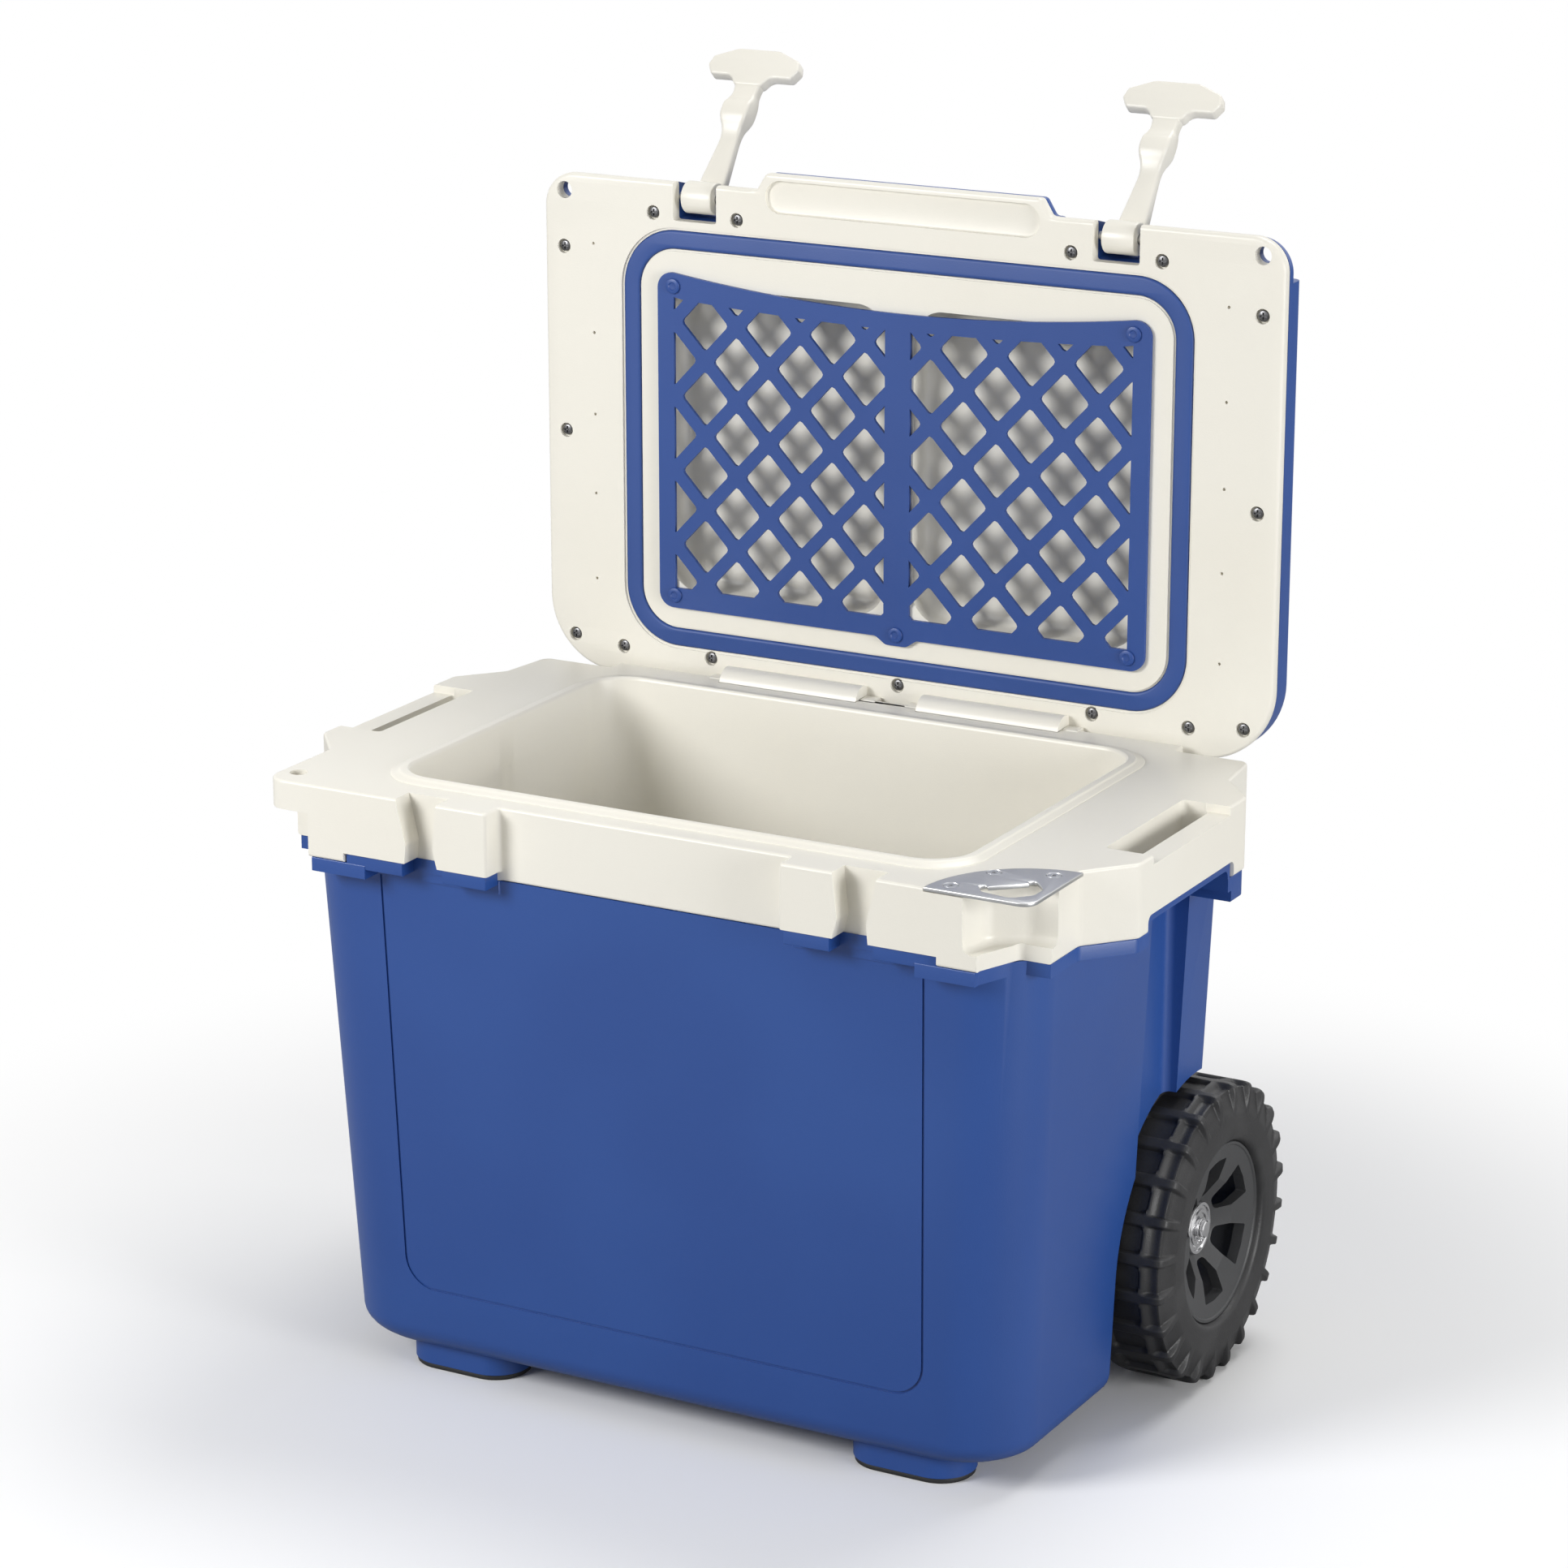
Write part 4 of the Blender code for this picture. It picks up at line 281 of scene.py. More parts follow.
# %% [markdown]
# ## Outlines and slabs
# Most mouldings here are flat outlines with thickness and rounded edges. A 2D curve makes them
# well: its fill keeps the holes, extrude gives the thickness and bevel rounds every edge, inside
# and outside. The curve is then made a mesh, because the frame carries meshes.

# %% Outlines and slabs
def fillet(corners, chord=0.0016, most=12):
    """Closed outline whose corners (x, y, radius) become arcs."""
    points = []
    for index, (x, y, radius) in enumerate(corners):
        corner = Vector((x, y))
        if radius <= 0:
            points.append((x, y))
            continue
        to_last = (Vector(corners[index - 1][:2]) - corner).normalized()
        to_next = (Vector(corners[(index + 1) % len(corners)][:2]) - corner).normalized()
        half = to_last.angle(to_next) / 2
        reach = radius / math.tan(half)
        centre = corner + (to_last + to_next).normalized() * (radius / math.sin(half))
        first = corner + to_last * reach - centre
        last = corner + to_next * reach - centre
        sweep = -first.angle_signed(last)
        count = max(2, min(most, round(abs(sweep) * radius / chord)))
        for step in range(count + 1):
            points.append(tuple(centre + Matrix.Rotation(sweep * step / count, 2) @ first))
    return points


def rectangle(x_low, x_high, y_low, y_high, radius=0.0):
    return [(x_low, y_low, radius), (x_high, y_low, radius),
            (x_high, y_high, radius), (x_low, y_high, radius)]


def mirrored(half):
    """Whole outline from the corners of its right half, front to back."""
    return list(half) + [(-x, y, radius) for x, y, radius in reversed(half)]


def circle(x, y, radius, steps=32):
    turns = [2 * math.pi * step / steps for step in range(steps)]
    return [(x + radius * math.cos(turn), y + radius * math.sin(turn)) for turn in turns]


def new_object(name, mesh):
    item = bpy.data.objects.new(name, mesh)
    bpy.context.scene.collection.objects.link(item)
    return item


def evaluated_mesh(item):
    """The object's mesh with its modifiers, in the world."""
    bpy.context.view_layer.update()
    graph = bpy.context.evaluated_depsgraph_get()
    mesh = bpy.data.meshes.new_from_object(item.evaluated_get(graph))
    mesh.transform(item.matrix_world)
    return mesh


def slab(name, outlines, low, high, edge=0.0, where=None, rounds=3):
    """Flat outline, with any holes after it, from low to high with rounded edges."""
    curve = bpy.data.curves.new(name, "CURVE")
    curve.dimensions = "2D"
    curve.fill_mode = "BOTH"
    curve.extrude = (high - low) / 2 - edge
    curve.bevel_depth = edge
    curve.bevel_resolution = rounds - 1
    curve.offset = -edge
    for outline in outlines:
        spline = curve.splines.new("POLY")
        spline.points.add(len(outline) - 1)
        for point, (x, y) in zip(spline.points, outline):
            point.co = (x, y, 0, 1)
        spline.use_cyclic_u = True
    guide = new_object(name + "_guide", curve)
    mesh = evaluated_mesh(guide)
    bpy.data.objects.remove(guide)
    shape = bmesh.new()
    shape.from_mesh(mesh)
    bmesh.ops.remove_doubles(shape, verts=shape.verts, dist=0.000004)
    bmesh.ops.dissolve_limit(shape, angle_limit=0.0002, verts=shape.verts, edges=shape.edges)
    bmesh.ops.recalc_face_normals(shape, faces=shape.faces)
    shape.to_mesh(mesh)
    shape.free()
    mesh.transform(Matrix.Translation((0, 0, (low + high) / 2)))
    if where is not None:
        mesh.transform(where)
    return new_object(name, mesh)


# %% [markdown]
# ## Cutting, joining and softening
# A moulding's pockets and notches are cut with the exact Boolean, as a mould's inserts would
# leave them. Each change is settled at once, so that its tool can go. At the end a Bevel
# modifier rounds the edges that are still sharp, because no moulded edge is a knife edge.

# %% Cutting, joining and softening
def settle(item):
    """Makes an object's modifiers part of its mesh."""
    mesh = evaluated_mesh(item)
    item.modifiers.clear()
    item.data = mesh
    item.matrix_world = Matrix.Identity(4)
    return item


def combine(item, tools, operation):
    for tool in tools:
        change = item.modifiers.new(operation, "BOOLEAN")
        change.operation = operation
        change.solver = "EXACT"
        change.object = tool
    settle(item)
    for tool in tools:
        bpy.data.objects.remove(tool)
    return item


def cut(item, *tools):
    return combine(item, tools, "DIFFERENCE")


def join(item, *tools):
    return combine(item, tools, "UNION")


def smooth(item, degrees=32.0):
    item.data.shade_smooth()
    item.data.set_sharp_from_angle(angle=math.radians(degrees))
    return item


def soften(item, width, rounds=2, degrees=32.0):
    """Rounds the sharp edges and keeps flat faces flat."""
    shape = bmesh.new()
    shape.from_mesh(item.data)
    bmesh.ops.remove_doubles(shape, verts=shape.verts, dist=0.00001)
    bmesh.ops.dissolve_limit(shape, angle_limit=0.002, verts=shape.verts, edges=shape.edges)
    shape.to_mesh(item.data)
    shape.free()
    item.data.shade_smooth()
    bevel = item.modifiers.new("rounded", "BEVEL")
    bevel.width = width
    bevel.segments = rounds
    bevel.limit_method = "ANGLE"
    bevel.angle_limit = math.radians(degrees)
    bevel.use_clamp_overlap = True
    bevel.harden_normals = False
    level = item.modifiers.new("level", "WEIGHTED_NORMAL")
    level.keep_sharp = True
    return item


def dress(item, body, material, slot, *nodes):
    """Gives a finished piece its material and body, and hides the solids it stands for. The slot is not used."""
    item.data.materials.clear()
    item.data.materials.append(material)
    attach(item, body)
    if nodes:
        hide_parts(*nodes)
    return item


# %% Solids that keep their shape
SLOT_OF = {row["node"]: row["material_slot"] for row in frame["record"]["subparts"]}
FINISHES = {
    "blue_plastic": BLUE, "blue_rubber": SEAL_BLUE, "cream_plastic": CREAM, "pale_foam": CREAM,
    "black_rubber": PAD_BLACK, "tyre": TYRE, "grey_plastic": GREY, "brushed_steel": TUBE_STEEL,
    "bright_chrome": CHROME, "dark_screw": SHADE_PAINTED_SCREW,
}
for node, item in NODES.items():
    if not item.hide_render:
        item.data.materials.clear()
        item.data.materials.append(FINISHES[SLOT_OF[node]])

# %% [markdown]
# ## Outer shell
# The blue shell is one hollow moulding. Its plan is wider at the sides than at the back, and it
# narrows downwards so that it leaves the mould. A loft through plans at several heights gives
# the drafted walls and the rounded floor, then the wheel wells and side channels are cut.

# %% Outer shell
DRAFT = math.tan(math.radians(2.5))
SHELL_HALF_WIDTH = 0.2223
SHELL_FRONT_REACH = 0.2819
SHELL_COLUMN_REACH = 0.0362
SHELL_REAR_REACH = 0.0140
SHELL_CENTRE_HALF_WIDTH = 0.1720
SHELL_BOTTOM = 0.0155
SHELL_FLOOR_RADIUS = 0.0150
RIM_DROP = 0.0406
RIM_GAP = 0.0003
WHEEL = Vector(JOINTS["wheel_right_spin"]["pos_m"])
WELL_RADIUS = 0.0908
WELL_X = 0.1865
CHANNEL_X = 0.2068


def loft(name, rings):
    """Closed solid through rings of points with equal counts."""
    shape = bmesh.new()
    loops = [[shape.verts.new(point) for point in ring] for ring in rings]
    for lower, upper in zip(loops, loops[1:]):
        for index in range(len(lower)):
            following = (index + 1) % len(lower)
            shape.faces.new((lower[index], lower[following], upper[following], upper[index]))
    shape.faces.new(loops[0])
    shape.faces.new(loops[-1])
    bmesh.ops.recalc_face_normals(shape, faces=shape.faces)
    mesh = bpy.data.meshes.new(name)
    shape.to_mesh(mesh)
    shape.free()
    return new_object(name, mesh)


def box(name, low, high):
    shape = bmesh.new()
    bmesh.ops.create_cube(shape, size=1.0)
    for vert in shape.verts:
        share = vert.co + Vector((0.5, 0.5, 0.5))
        vert.co = [start + (end - start) * part for start, end, part in zip(low, high, share)]
    bmesh.ops.recalc_face_normals(shape, faces=shape.faces)
    mesh = bpy.data.meshes.new(name)
    shape.to_mesh(mesh)
    shape.free()
    return new_object(name, mesh)


def rod(name, start, end, radius, steps=48, far_radius=None):
    """Round bar, or a cone when its far radius differs."""
    start = Vector(start)
    line = Vector(end) - start
    shape = bmesh.new()
    bmesh.ops.create_cone(shape, cap_ends=True, segments=steps, radius1=radius,
                          radius2=far_radius or radius, depth=line.length)
    mesh = bpy.data.meshes.new(name)
    shape.to_mesh(mesh)
    shape.free()
    mesh.transform(Matrix.Translation(start + line / 2) @ line.to_track_quat("Z", "Y").to_matrix().to_4x4())
    return new_object(name, mesh)


def shell_plan(tuck, column_tuck):
    half = [
        (SHELL_HALF_WIDTH - tuck, behind(SHELL_FRONT_REACH) + tuck, 0.0387),
        (SHELL_HALF_WIDTH - tuck, behind(SHELL_COLUMN_REACH) - column_tuck, 0.0060),
        (SHELL_CENTRE_HALF_WIDTH - tuck, behind(SHELL_COLUMN_REACH) - column_tuck, 0.0060),
        (SHELL_CENTRE_HALF_WIDTH - tuck, behind(SHELL_REAR_REACH) - column_tuck, 0.0060),
    ]
    return fillet(mirrored(half), most=14)


def make_shell_body():
    top = below(RIM_DROP + RIM_GAP)
    levels = [(top, 0.0), (below(0.15), 0.0), (SHELL_BOTTOM + SHELL_FLOOR_RADIUS, 0.0)]
    for step in range(1, 9):
        turn = math.pi / 2 * step / 8
        levels.append((SHELL_BOTTOM + SHELL_FLOOR_RADIUS * (1 - math.sin(turn)),
                       SHELL_FLOOR_RADIUS * (1 - math.cos(turn))))
    rings = []
    for height, tuck in levels:
        plan = shell_plan(tuck + DRAFT * (DECK - height), tuck)
        rings.append([(x, y, height) for x, y in plan])
    return loft("shell", rings)


def wheel_well(side):
    """Arched cutter, open below and outwards."""
    arch = [(WHEEL.y - WELL_RADIUS, -WELL_RADIUS)]
    for step in range(49):
        turn = math.pi * (1 - step / 48)
        arch.append((WHEEL.y + WELL_RADIUS * math.cos(turn), WHEEL.z + WELL_RADIUS * math.sin(turn)))
    arch.append((WHEEL.y + WELL_RADIUS, -WELL_RADIUS))
    ends = signed(side, WELL_X, HALF_WIDTH + 0.01)
    return slab("well", [arch], ends[0], ends[1], where=ALONG_X)


def side_channel(side):
    """Upright recess in front of the rear column."""
    outline = rectangle(*signed(side, CHANNEL_X, HALF_WIDTH + 0.02), behind(0.1232), behind(0.0749), 0.0050)
    return slab("channel", [fillet(outline)], WHEEL.z, below(RIM_DROP) + 0.01)


def front_groove():
    """Fine frame engraved in the front, square to its drafted wall."""
    lean = Matrix.Rotation(math.atan(DRAFT), 4, "X")
    foot = Matrix.Translation((0.0, behind(SHELL_FRONT_REACH), DECK))
    outlines = []
    for inset in (0.0, 0.0014):
        corners = [(-0.1650 + inset, -0.0400, 0.0), (-0.1608 + inset, -0.2910 + inset, 0.0190 - inset),
                   (0.1608 - inset, -0.2910 + inset, 0.0190 - inset), (0.1650 - inset, -0.0400, 0.0)]
        outlines.append(fillet(corners))
    return slab("front_groove", outlines, -0.0009, 0.004, where=foot @ lean @ UPRIGHT)


shell = make_shell_body()
cut(shell, front_groove())
for side in (-1, 1):
    cut(shell, wheel_well(side), side_channel(side))
print("shell:", len(shell.data.polygons), "faces")

# %% [markdown]
# ## Feet
# Two long feet hold the front up. Each has a black pad that stops it from sliding.

# %% Feet
FOOT_X = 0.1392
FOOT_REACH = 0.2356


def foot_plan(side, inset):
    half_length = 0.0348 - inset
    half_width = 0.0200 - inset
    middle = behind(FOOT_REACH)
    return fillet(rectangle(side * FOOT_X - half_length, side * FOOT_X + half_length,
                            middle - half_width, middle + half_width, half_width - 0.0003))


for side in (-1, 1):
    leg = slab("leg", [foot_plan(side, 0.0)], 0.0033, SHELL_BOTTOM + 0.012)
    join(shell, leg)
    pad = slab("foot_pad_" + side_name(side), [foot_plan(side, 0.0008)], 0.0, 0.0030, 0.0008)
    smooth(pad)
    dress(pad, "body", PAD_BLACK, "black_rubber", "foot_pad_" + side_name(side))
print("feet at reach", FOOT_REACH)

# %% [markdown]
# ## Rim and tub
# The cream rim and the tub are one moulding. Seen from above, the rim's outline steps round
# each thing that it carries: two bosses with notches for the latches, a padlock tab, a corner
# cut away below the opener, and a carrying bar at each side.

# %% Rim
RIM_FRONT_REACH = 0.2943
RIM_WALL_REACH = 0.2807
BOSS_DROP = 0.0355
LATCH_X = 0.1314
OPENER_X = 0.2310
OPENER_RADIUS = 0.0600
OPENING_HALF_WIDTH = 0.1691
OPENING_FRONT_REACH = 0.2585
OPENING_REAR_REACH = 0.0314
KNUCKLE_INNER_X = 0.0193
KNUCKLE_OUTER_X = 0.1082
KNUCKLE_RADIUS = 0.0095
PADLOCK_X = 0.2174
PADLOCK_REACH = 0.2775
DEEP = 0.01


def rim_plan(inset):
    half = [
        (0.0880 + inset, behind(RIM_WALL_REACH) + inset, 0.002),
        (0.0880 + inset, behind(RIM_FRONT_REACH) + inset, 0.002),
        (0.2285 - inset, behind(RIM_FRONT_REACH) + inset, 0.012),
        (0.2285 - inset, behind(0.2320) + inset, 0.006),
        (0.2500 - inset, behind(0.2060) + inset, 0.006),
        (0.2500 - inset, behind(0.0720), 0.006),
        (0.2293 - inset, behind(0.0469), 0.006),
        (0.2249 - inset, behind(0.0106) - inset, 0.006),
        (0.1810 - inset, behind(0.0106) - inset, 0.002),
        (0.1810 - inset, HINGE.y + 0.0005 - inset, 0.002),
    ]
    return fillet(mirrored(half), chord=0.0009)


def opening_plan(inset):
    corners = rectangle(inset - OPENING_HALF_WIDTH, OPENING_HALF_WIDTH - inset,
                        behind(OPENING_FRONT_REACH) + inset, behind(OPENING_REAR_REACH) - inset,
                        0.0240 - inset)
    return fillet(corners, chord=0.001, most=16)


def corner_step(side, inset, top):
    """Step in a front corner, where the rim leaves room below its tab."""
    front = behind(RIM_FRONT_REACH) - DEEP
    corners = [(0.2010 - inset, front, 0.0), (0.2010 - inset, behind(0.2900) + inset, 0.0),
               (0.2110 - inset, behind(0.2640) + inset, 0.004), (0.2600, behind(0.2640) + inset, 0.0),
               (0.2600, front, 0.0)]
    outline = [(side * x, y) for x, y in fillet(corners)]
    return slab("corner_step", [outline], below(0.0600), top)


def keeper(side, grow=0.0, back=0.0):
    """Notch that a latch's arm drops into: wide above, narrow at the waist."""
    levels = ((-DEEP, -0.0120, 0.0133, 0.0), (0.0, -0.0120, 0.0133, 0.0), (0.0252, -0.0094, 0.0075, 0.006),
              (BOSS_DROP, -0.0121, 0.0086, 0.0), (0.0600, -0.0121, 0.0086, 0.0))
    inner = [(side * (0.1310 + low - grow), below(drop), radius) for drop, low, high, radius in levels]
    outer = [(side * (0.1310 + high + grow), below(drop), radius) for drop, low, high, radius in levels]
    outline = fillet(inner + outer[::-1])
    near = back - behind(RIM_WALL_REACH)
    return slab("keeper", [outline], near, DEEP - behind(RIM_FRONT_REACH), where=UPRIGHT)


def side_arch(side, grow):
    """Room for the hand below the carrying bar."""
    outline = rectangle(behind(0.1955) - grow, behind(0.0867) + grow,
                        below(0.0700), below(0.0314) + grow, 0.004)
    return slab("side_arch", [fillet(outline)], *signed(side, 0.2225, 0.2600), where=ALONG_X)


def hand_slot(side):
    outline = rectangle(*signed(side, 0.2225, 0.2377), behind(0.1905), behind(0.0930), 0.0030)
    return slab("hand_slot", [fillet(outline)], below(0.0600), below(-DEEP))


def bar_step(side):
    outline = rectangle(*signed(side, 0.2340, 0.2600), behind(0.1905), behind(0.0930), 0.0025)
    return slab("bar_step", [fillet(outline)], below(0.0048), below(-DEEP))


def opener_places(shares):
    """Shares of the plate's radius, counted from its outer front corner."""
    return [(OPENER_X - OPENER_RADIUS * x, behind(RIM_FRONT_REACH) + OPENER_RADIUS * y) for x, y in shares]


def opener_plan(grow):
    """Quarter disc with a rounded outer corner."""
    corner_y = behind(RIM_FRONT_REACH)
    radius = OPENER_RADIUS + grow
    arc = []
    for step in range(33):
        turn = math.pi / 2 * (1 + step / 32)
        arc.append((OPENER_X + radius * math.cos(turn), corner_y + radius * math.sin(turn), 0.0))
    return fillet(arc + [(OPENER_X + grow, corner_y - grow, 0.0080)])


def opener_pocket():
    """Scooped pocket that a bottle's neck goes into."""
    places = opener_places(((0.683, -0.15), (0.583, 0.355), (0.283, 0.588), (-0.2, 0.64), (-0.2, -0.15)))
    outline = fillet([(x, y, 0.012) for x, y in places])
    return slab("pocket", [outline], below(0.0320), below(-DEEP), 0.0045)


def tub_ring(inset, height, groove=0.0):
    """Level outline of the tub, with an upright groove in the middle of each side."""
    half_width = OPENING_HALF_WIDTH - inset
    front = behind(OPENING_FRONT_REACH) + inset
    rear = behind(OPENING_REAR_REACH) - inset
    middle = (front + rear) / 2
    radius = 0.0240 - min(inset, 0.0) * 0.6
    outline = []
    for side in (1, -1):
        near, far = (front, rear) if side > 0 else (rear, front)
        outline += [(side * half_width, near, radius)]
        for reach, deep in ((-0.0085, 0.0), (-0.0060, groove), (0.0060, groove), (0.0085, 0.0)):
            outline.append((side * (half_width + deep), middle + side * reach, 0.0))
        outline += [(side * half_width, far, radius)]
    return [(x, y, height) for x, y in fillet(outline, chord=0.001, most=16)]


def make_tub():
    """Tub with a two-step bead round its mouth."""
    floor_level = 0.0480
    rings = [tub_ring(-0.0030 + DRAFT * (DECK - floor_level), floor_level - 0.003),
             tub_ring(-0.0030, below(0.0040))]
    bead = ((0.0092, 0.0030), (0.0092, -0.0002), (0.0086, -0.0009), (0.0056, -0.0012), (0.0050, -0.0022),
            (0.0044, -0.0026), (0.0012, -0.0026), (0.0003, -0.0020), (0.0, -0.0004))
    rings += [tub_ring(-out, below(drop)) for out, drop in bead]
    rings.append(tub_ring(DRAFT * 0.0220, below(0.0220)))
    for drop, groove in ((0.0250, 0.0022), (0.15, 0.0022)):
        rings.append(tub_ring(DRAFT * drop, below(drop), groove))
    for step in range(9):
        turn = math.pi / 2 * step / 8
        rise = 0.0120 * (1 - math.sin(turn))
        tuck = 0.0120 * (1 - math.cos(turn))
        level = floor_level + rise
        rings.append(tub_ring(tuck + DRAFT * (DECK - level), level, 0.0022 * (1 - step / 8)))
    return loft("tub", rings)


def knuckle_recess(side, grow):
    start = (side * (KNUCKLE_INNER_X - grow), HINGE.y, HINGE.z)
    end = (side * (KNUCKLE_OUTER_X + grow), HINGE.y, HINGE.z)
    return rod("knuckle_recess", start, end, KNUCKLE_RADIUS + 2 * grow, steps=64)


def hinge_ears(side):
    """Round ears of the rim at both ends of a knuckle."""
    ears = []
    for near in (KNUCKLE_INNER_X - 0.0098, KNUCKLE_OUTER_X + 0.0003):
        outline = [(y, min(z, below(-0.0008))) for y, z in circle(HINGE.y, HINGE.z, 0.0049)]
        ears.append(slab("ear", [outline], *signed(side, near, near + 0.0095), 0.0006, where=ALONG_X))
    return ears


def make_rim():
    rim = slab("rim", [rim_plan(0.0), opening_plan(-0.0070)], below(RIM_DROP), DECK, 0.0016)
    front = behind(RIM_FRONT_REACH)
    cut(rim, corner_step(-1, 0.0, below(0.0164)), corner_step(1, 0.0, below(-DEEP)))
    for side in (-1, 1):
        join(rim, *hinge_ears(side))
    cut(rim, box("boss_foot", (-0.1785, front - DEEP, below(0.06)),
                 (0.1785, behind(RIM_WALL_REACH), below(BOSS_DROP))))
    for side in (-1, 1):
        cut(rim, keeper(side), side_arch(side, 0.0), hand_slot(side), bar_step(side))
        cut(rim, knuckle_recess(side, 0.0003))
    seat = slab("plate_seat", [opener_plan(0.0003)], below(0.0022), below(-DEEP))
    cut(rim, seat, opener_pocket())
    hole_y = behind(PADLOCK_REACH)
    cut(rim, rod("padlock", (-PADLOCK_X, hole_y, below(0.05)), (-PADLOCK_X, hole_y, below(-DEEP)), 0.005))
    return rim


def merge(name, *items):
    """One object that holds the meshes of several."""
    shape = bmesh.new()
    for item in items:
        shape.from_mesh(item.data)
    mesh = bpy.data.meshes.new(name)
    shape.to_mesh(mesh)
    shape.free()
    for item in items:
        bpy.data.objects.remove(item)
    return new_object(name, mesh)


rim = merge("rim_and_tub", settle(soften(make_rim(), 0.0010, 3, 34)), make_tub())
smooth(rim, 34)
dress(rim, "body", CREAM, "cream_plastic", "inner_liner")
print("rim and tub:", len(rim.data.polygons), "faces")

# %% [markdown]
# ## Collar
# Below the rim the blue shell comes out again to carry it. Its outline follows the rim's, a
# little further in, and it hangs lower behind the carrying bars.

# %% Collar
def make_collar():
    ledge = below(RIM_DROP + RIM_GAP)
    under = below(RIM_DROP + 0.0080)
    front = behind(RIM_FRONT_REACH)
    collar = slab("collar", [rim_plan(0.0012)], below(0.0550), ledge, 0.0006)
    cut(collar, box("trim", (-0.30, front - DEEP, below(0.06)), (0.30, behind(0.0867), under)))
    cut(collar, corner_step(-1, 0.0012, below(0)), corner_step(1, 0.0012, below(0)))
    cut(collar, box("boss_trim", (-0.1657, front - DEEP, below(0.06)),
                    (0.1657, behind(RIM_WALL_REACH), below(0))))
    for side in (-1, 1):
        outline = rectangle(*signed(side, 0.0895, 0.1782), front + 0.0015, behind(0.2700), 0.0015)
        join(collar, slab("collar_boss", [fillet(outline)], below(0.0435), below(0.0358), 0.0006))
        lip = rectangle(*signed(side, 0.2377, 0.2485), behind(0.1952), behind(0.0870), 0.0015)
        join(collar, slab("bar_lip", [fillet(lip)], under + 0.0003, below(0.0317), 0.0006))
        cut(collar, keeper(side, 0.0024, 0.0006))
    return collar


join(shell, make_collar())
for side in (-1, 1):
    cut(shell, side_arch(side, -0.0044), hand_slot(side))
mouth = slab("tub_room", [opening_plan(-0.0033)], below(0.30), below(-DEEP))
cut(shell, mouth)
smooth(shell, 34)
dress(shell, "body", BLUE, "blue_plastic", "outer_shell")
print("shell with collar:", len(shell.data.polygons), "faces")

# %% [markdown]
# ## Repeats by Geometry Nodes
# Screws, pegs, tread cells and hub windows repeat. One node tree stands a piece on every point
# of a mesh, and another turns it round an axis a number of times. Both end by realizing the
# copies and setting their material, so that a plain mesh can be read back.

# %% Node trees
def new_tree(name, inputs):
    """Geometry tree with named inputs, and a helper that adds and feeds nodes."""
    tree = bpy.data.node_groups.new(name, "GeometryNodeTree")
    tree.interface.new_socket("Geometry", in_out="INPUT", socket_type="NodeSocketGeometry")
    for label, kind in inputs.items():
        tree.interface.new_socket(label, in_out="INPUT", socket_type=kind)
    tree.interface.new_socket("Geometry", in_out="OUTPUT", socket_type="NodeSocketGeometry")
    ends = {"in": tree.nodes.new("NodeGroupInput"), "out": tree.nodes.new("NodeGroupOutput")}

    def add(kind, settings=None, **feeds):
        node = tree.nodes.new(kind)
        for key, value in (settings or {}).items():
            setattr(node, key, value)
        for label, value in feeds.items():
            socket = node.inputs[label.replace("_", " ")]
            if isinstance(value, bpy.types.NodeSocket):
                tree.links.new(value, socket)
            else:
                socket.default_value = value
        return node

    return tree, ends["in"], ends["out"], add


def finish_tree(tree, start, end, add, copies, merge_distance=0.0):
    real = add("GeometryNodeRealizeInstances", Geometry=copies.outputs["Instances"])
    last = real.outputs["Geometry"]
    if merge_distance:
        last = add("GeometryNodeMergeByDistance", Geometry=last, Distance=merge_distance).outputs["Geometry"]
    painted = add("GeometryNodeSetMaterial", Geometry=last, Material=start.outputs["Material"])
    tree.links.new(painted.outputs["Geometry"], end.inputs["Geometry"])
    return tree


def tree_on_points():
    kinds = {"Piece": "NodeSocketObject", "Turn": "NodeSocketRotation", "Material": "NodeSocketMaterial"}
    tree, start, end, add = new_tree("piece_on_points", kinds)
    piece = add("GeometryNodeObjectInfo", Object=start.outputs["Piece"])
    copies = add("GeometryNodeInstanceOnPoints", Points=start.outputs["Geometry"],
                 Instance=piece.outputs["Geometry"], Rotation=start.outputs["Turn"])
    return finish_tree(tree, start, end, add, copies)


def tree_round_axis():
    kinds = {"Piece": "NodeSocketObject", "Count": "NodeSocketInt", "Material": "NodeSocketMaterial"}
    tree, start, end, add = new_tree("piece_round_axis", kinds)
    piece = add("GeometryNodeObjectInfo", Object=start.outputs["Piece"])
    points = add("GeometryNodeMeshLine", Count=start.outputs["Count"], Offset=(0.0, 0.0, 0.0))
    index = add("GeometryNodeInputIndex")
    share = add("ShaderNodeMath", {"operation": "DIVIDE"})
    tree.links.new(index.outputs["Index"], share.inputs[0])
    tree.links.new(start.outputs["Count"], share.inputs[1])
    turn = add("ShaderNodeMath", {"operation": "MULTIPLY"})
    tree.links.new(share.outputs[0], turn.inputs[0])
    turn.inputs[1].default_value = 2 * math.pi
    angles = add("ShaderNodeCombineXYZ", Z=turn.outputs[0])
    rotation = add("FunctionNodeEulerToRotation", Euler=angles.outputs[0])
    copies = add("GeometryNodeInstanceOnPoints", Points=points.outputs["Mesh"],
                 Instance=piece.outputs["Geometry"], Rotation=rotation.outputs[0])
    return finish_tree(tree, start, end, add, copies, 0.00002)


ON_POINTS = tree_on_points()
ROUND_AXIS = tree_round_axis()


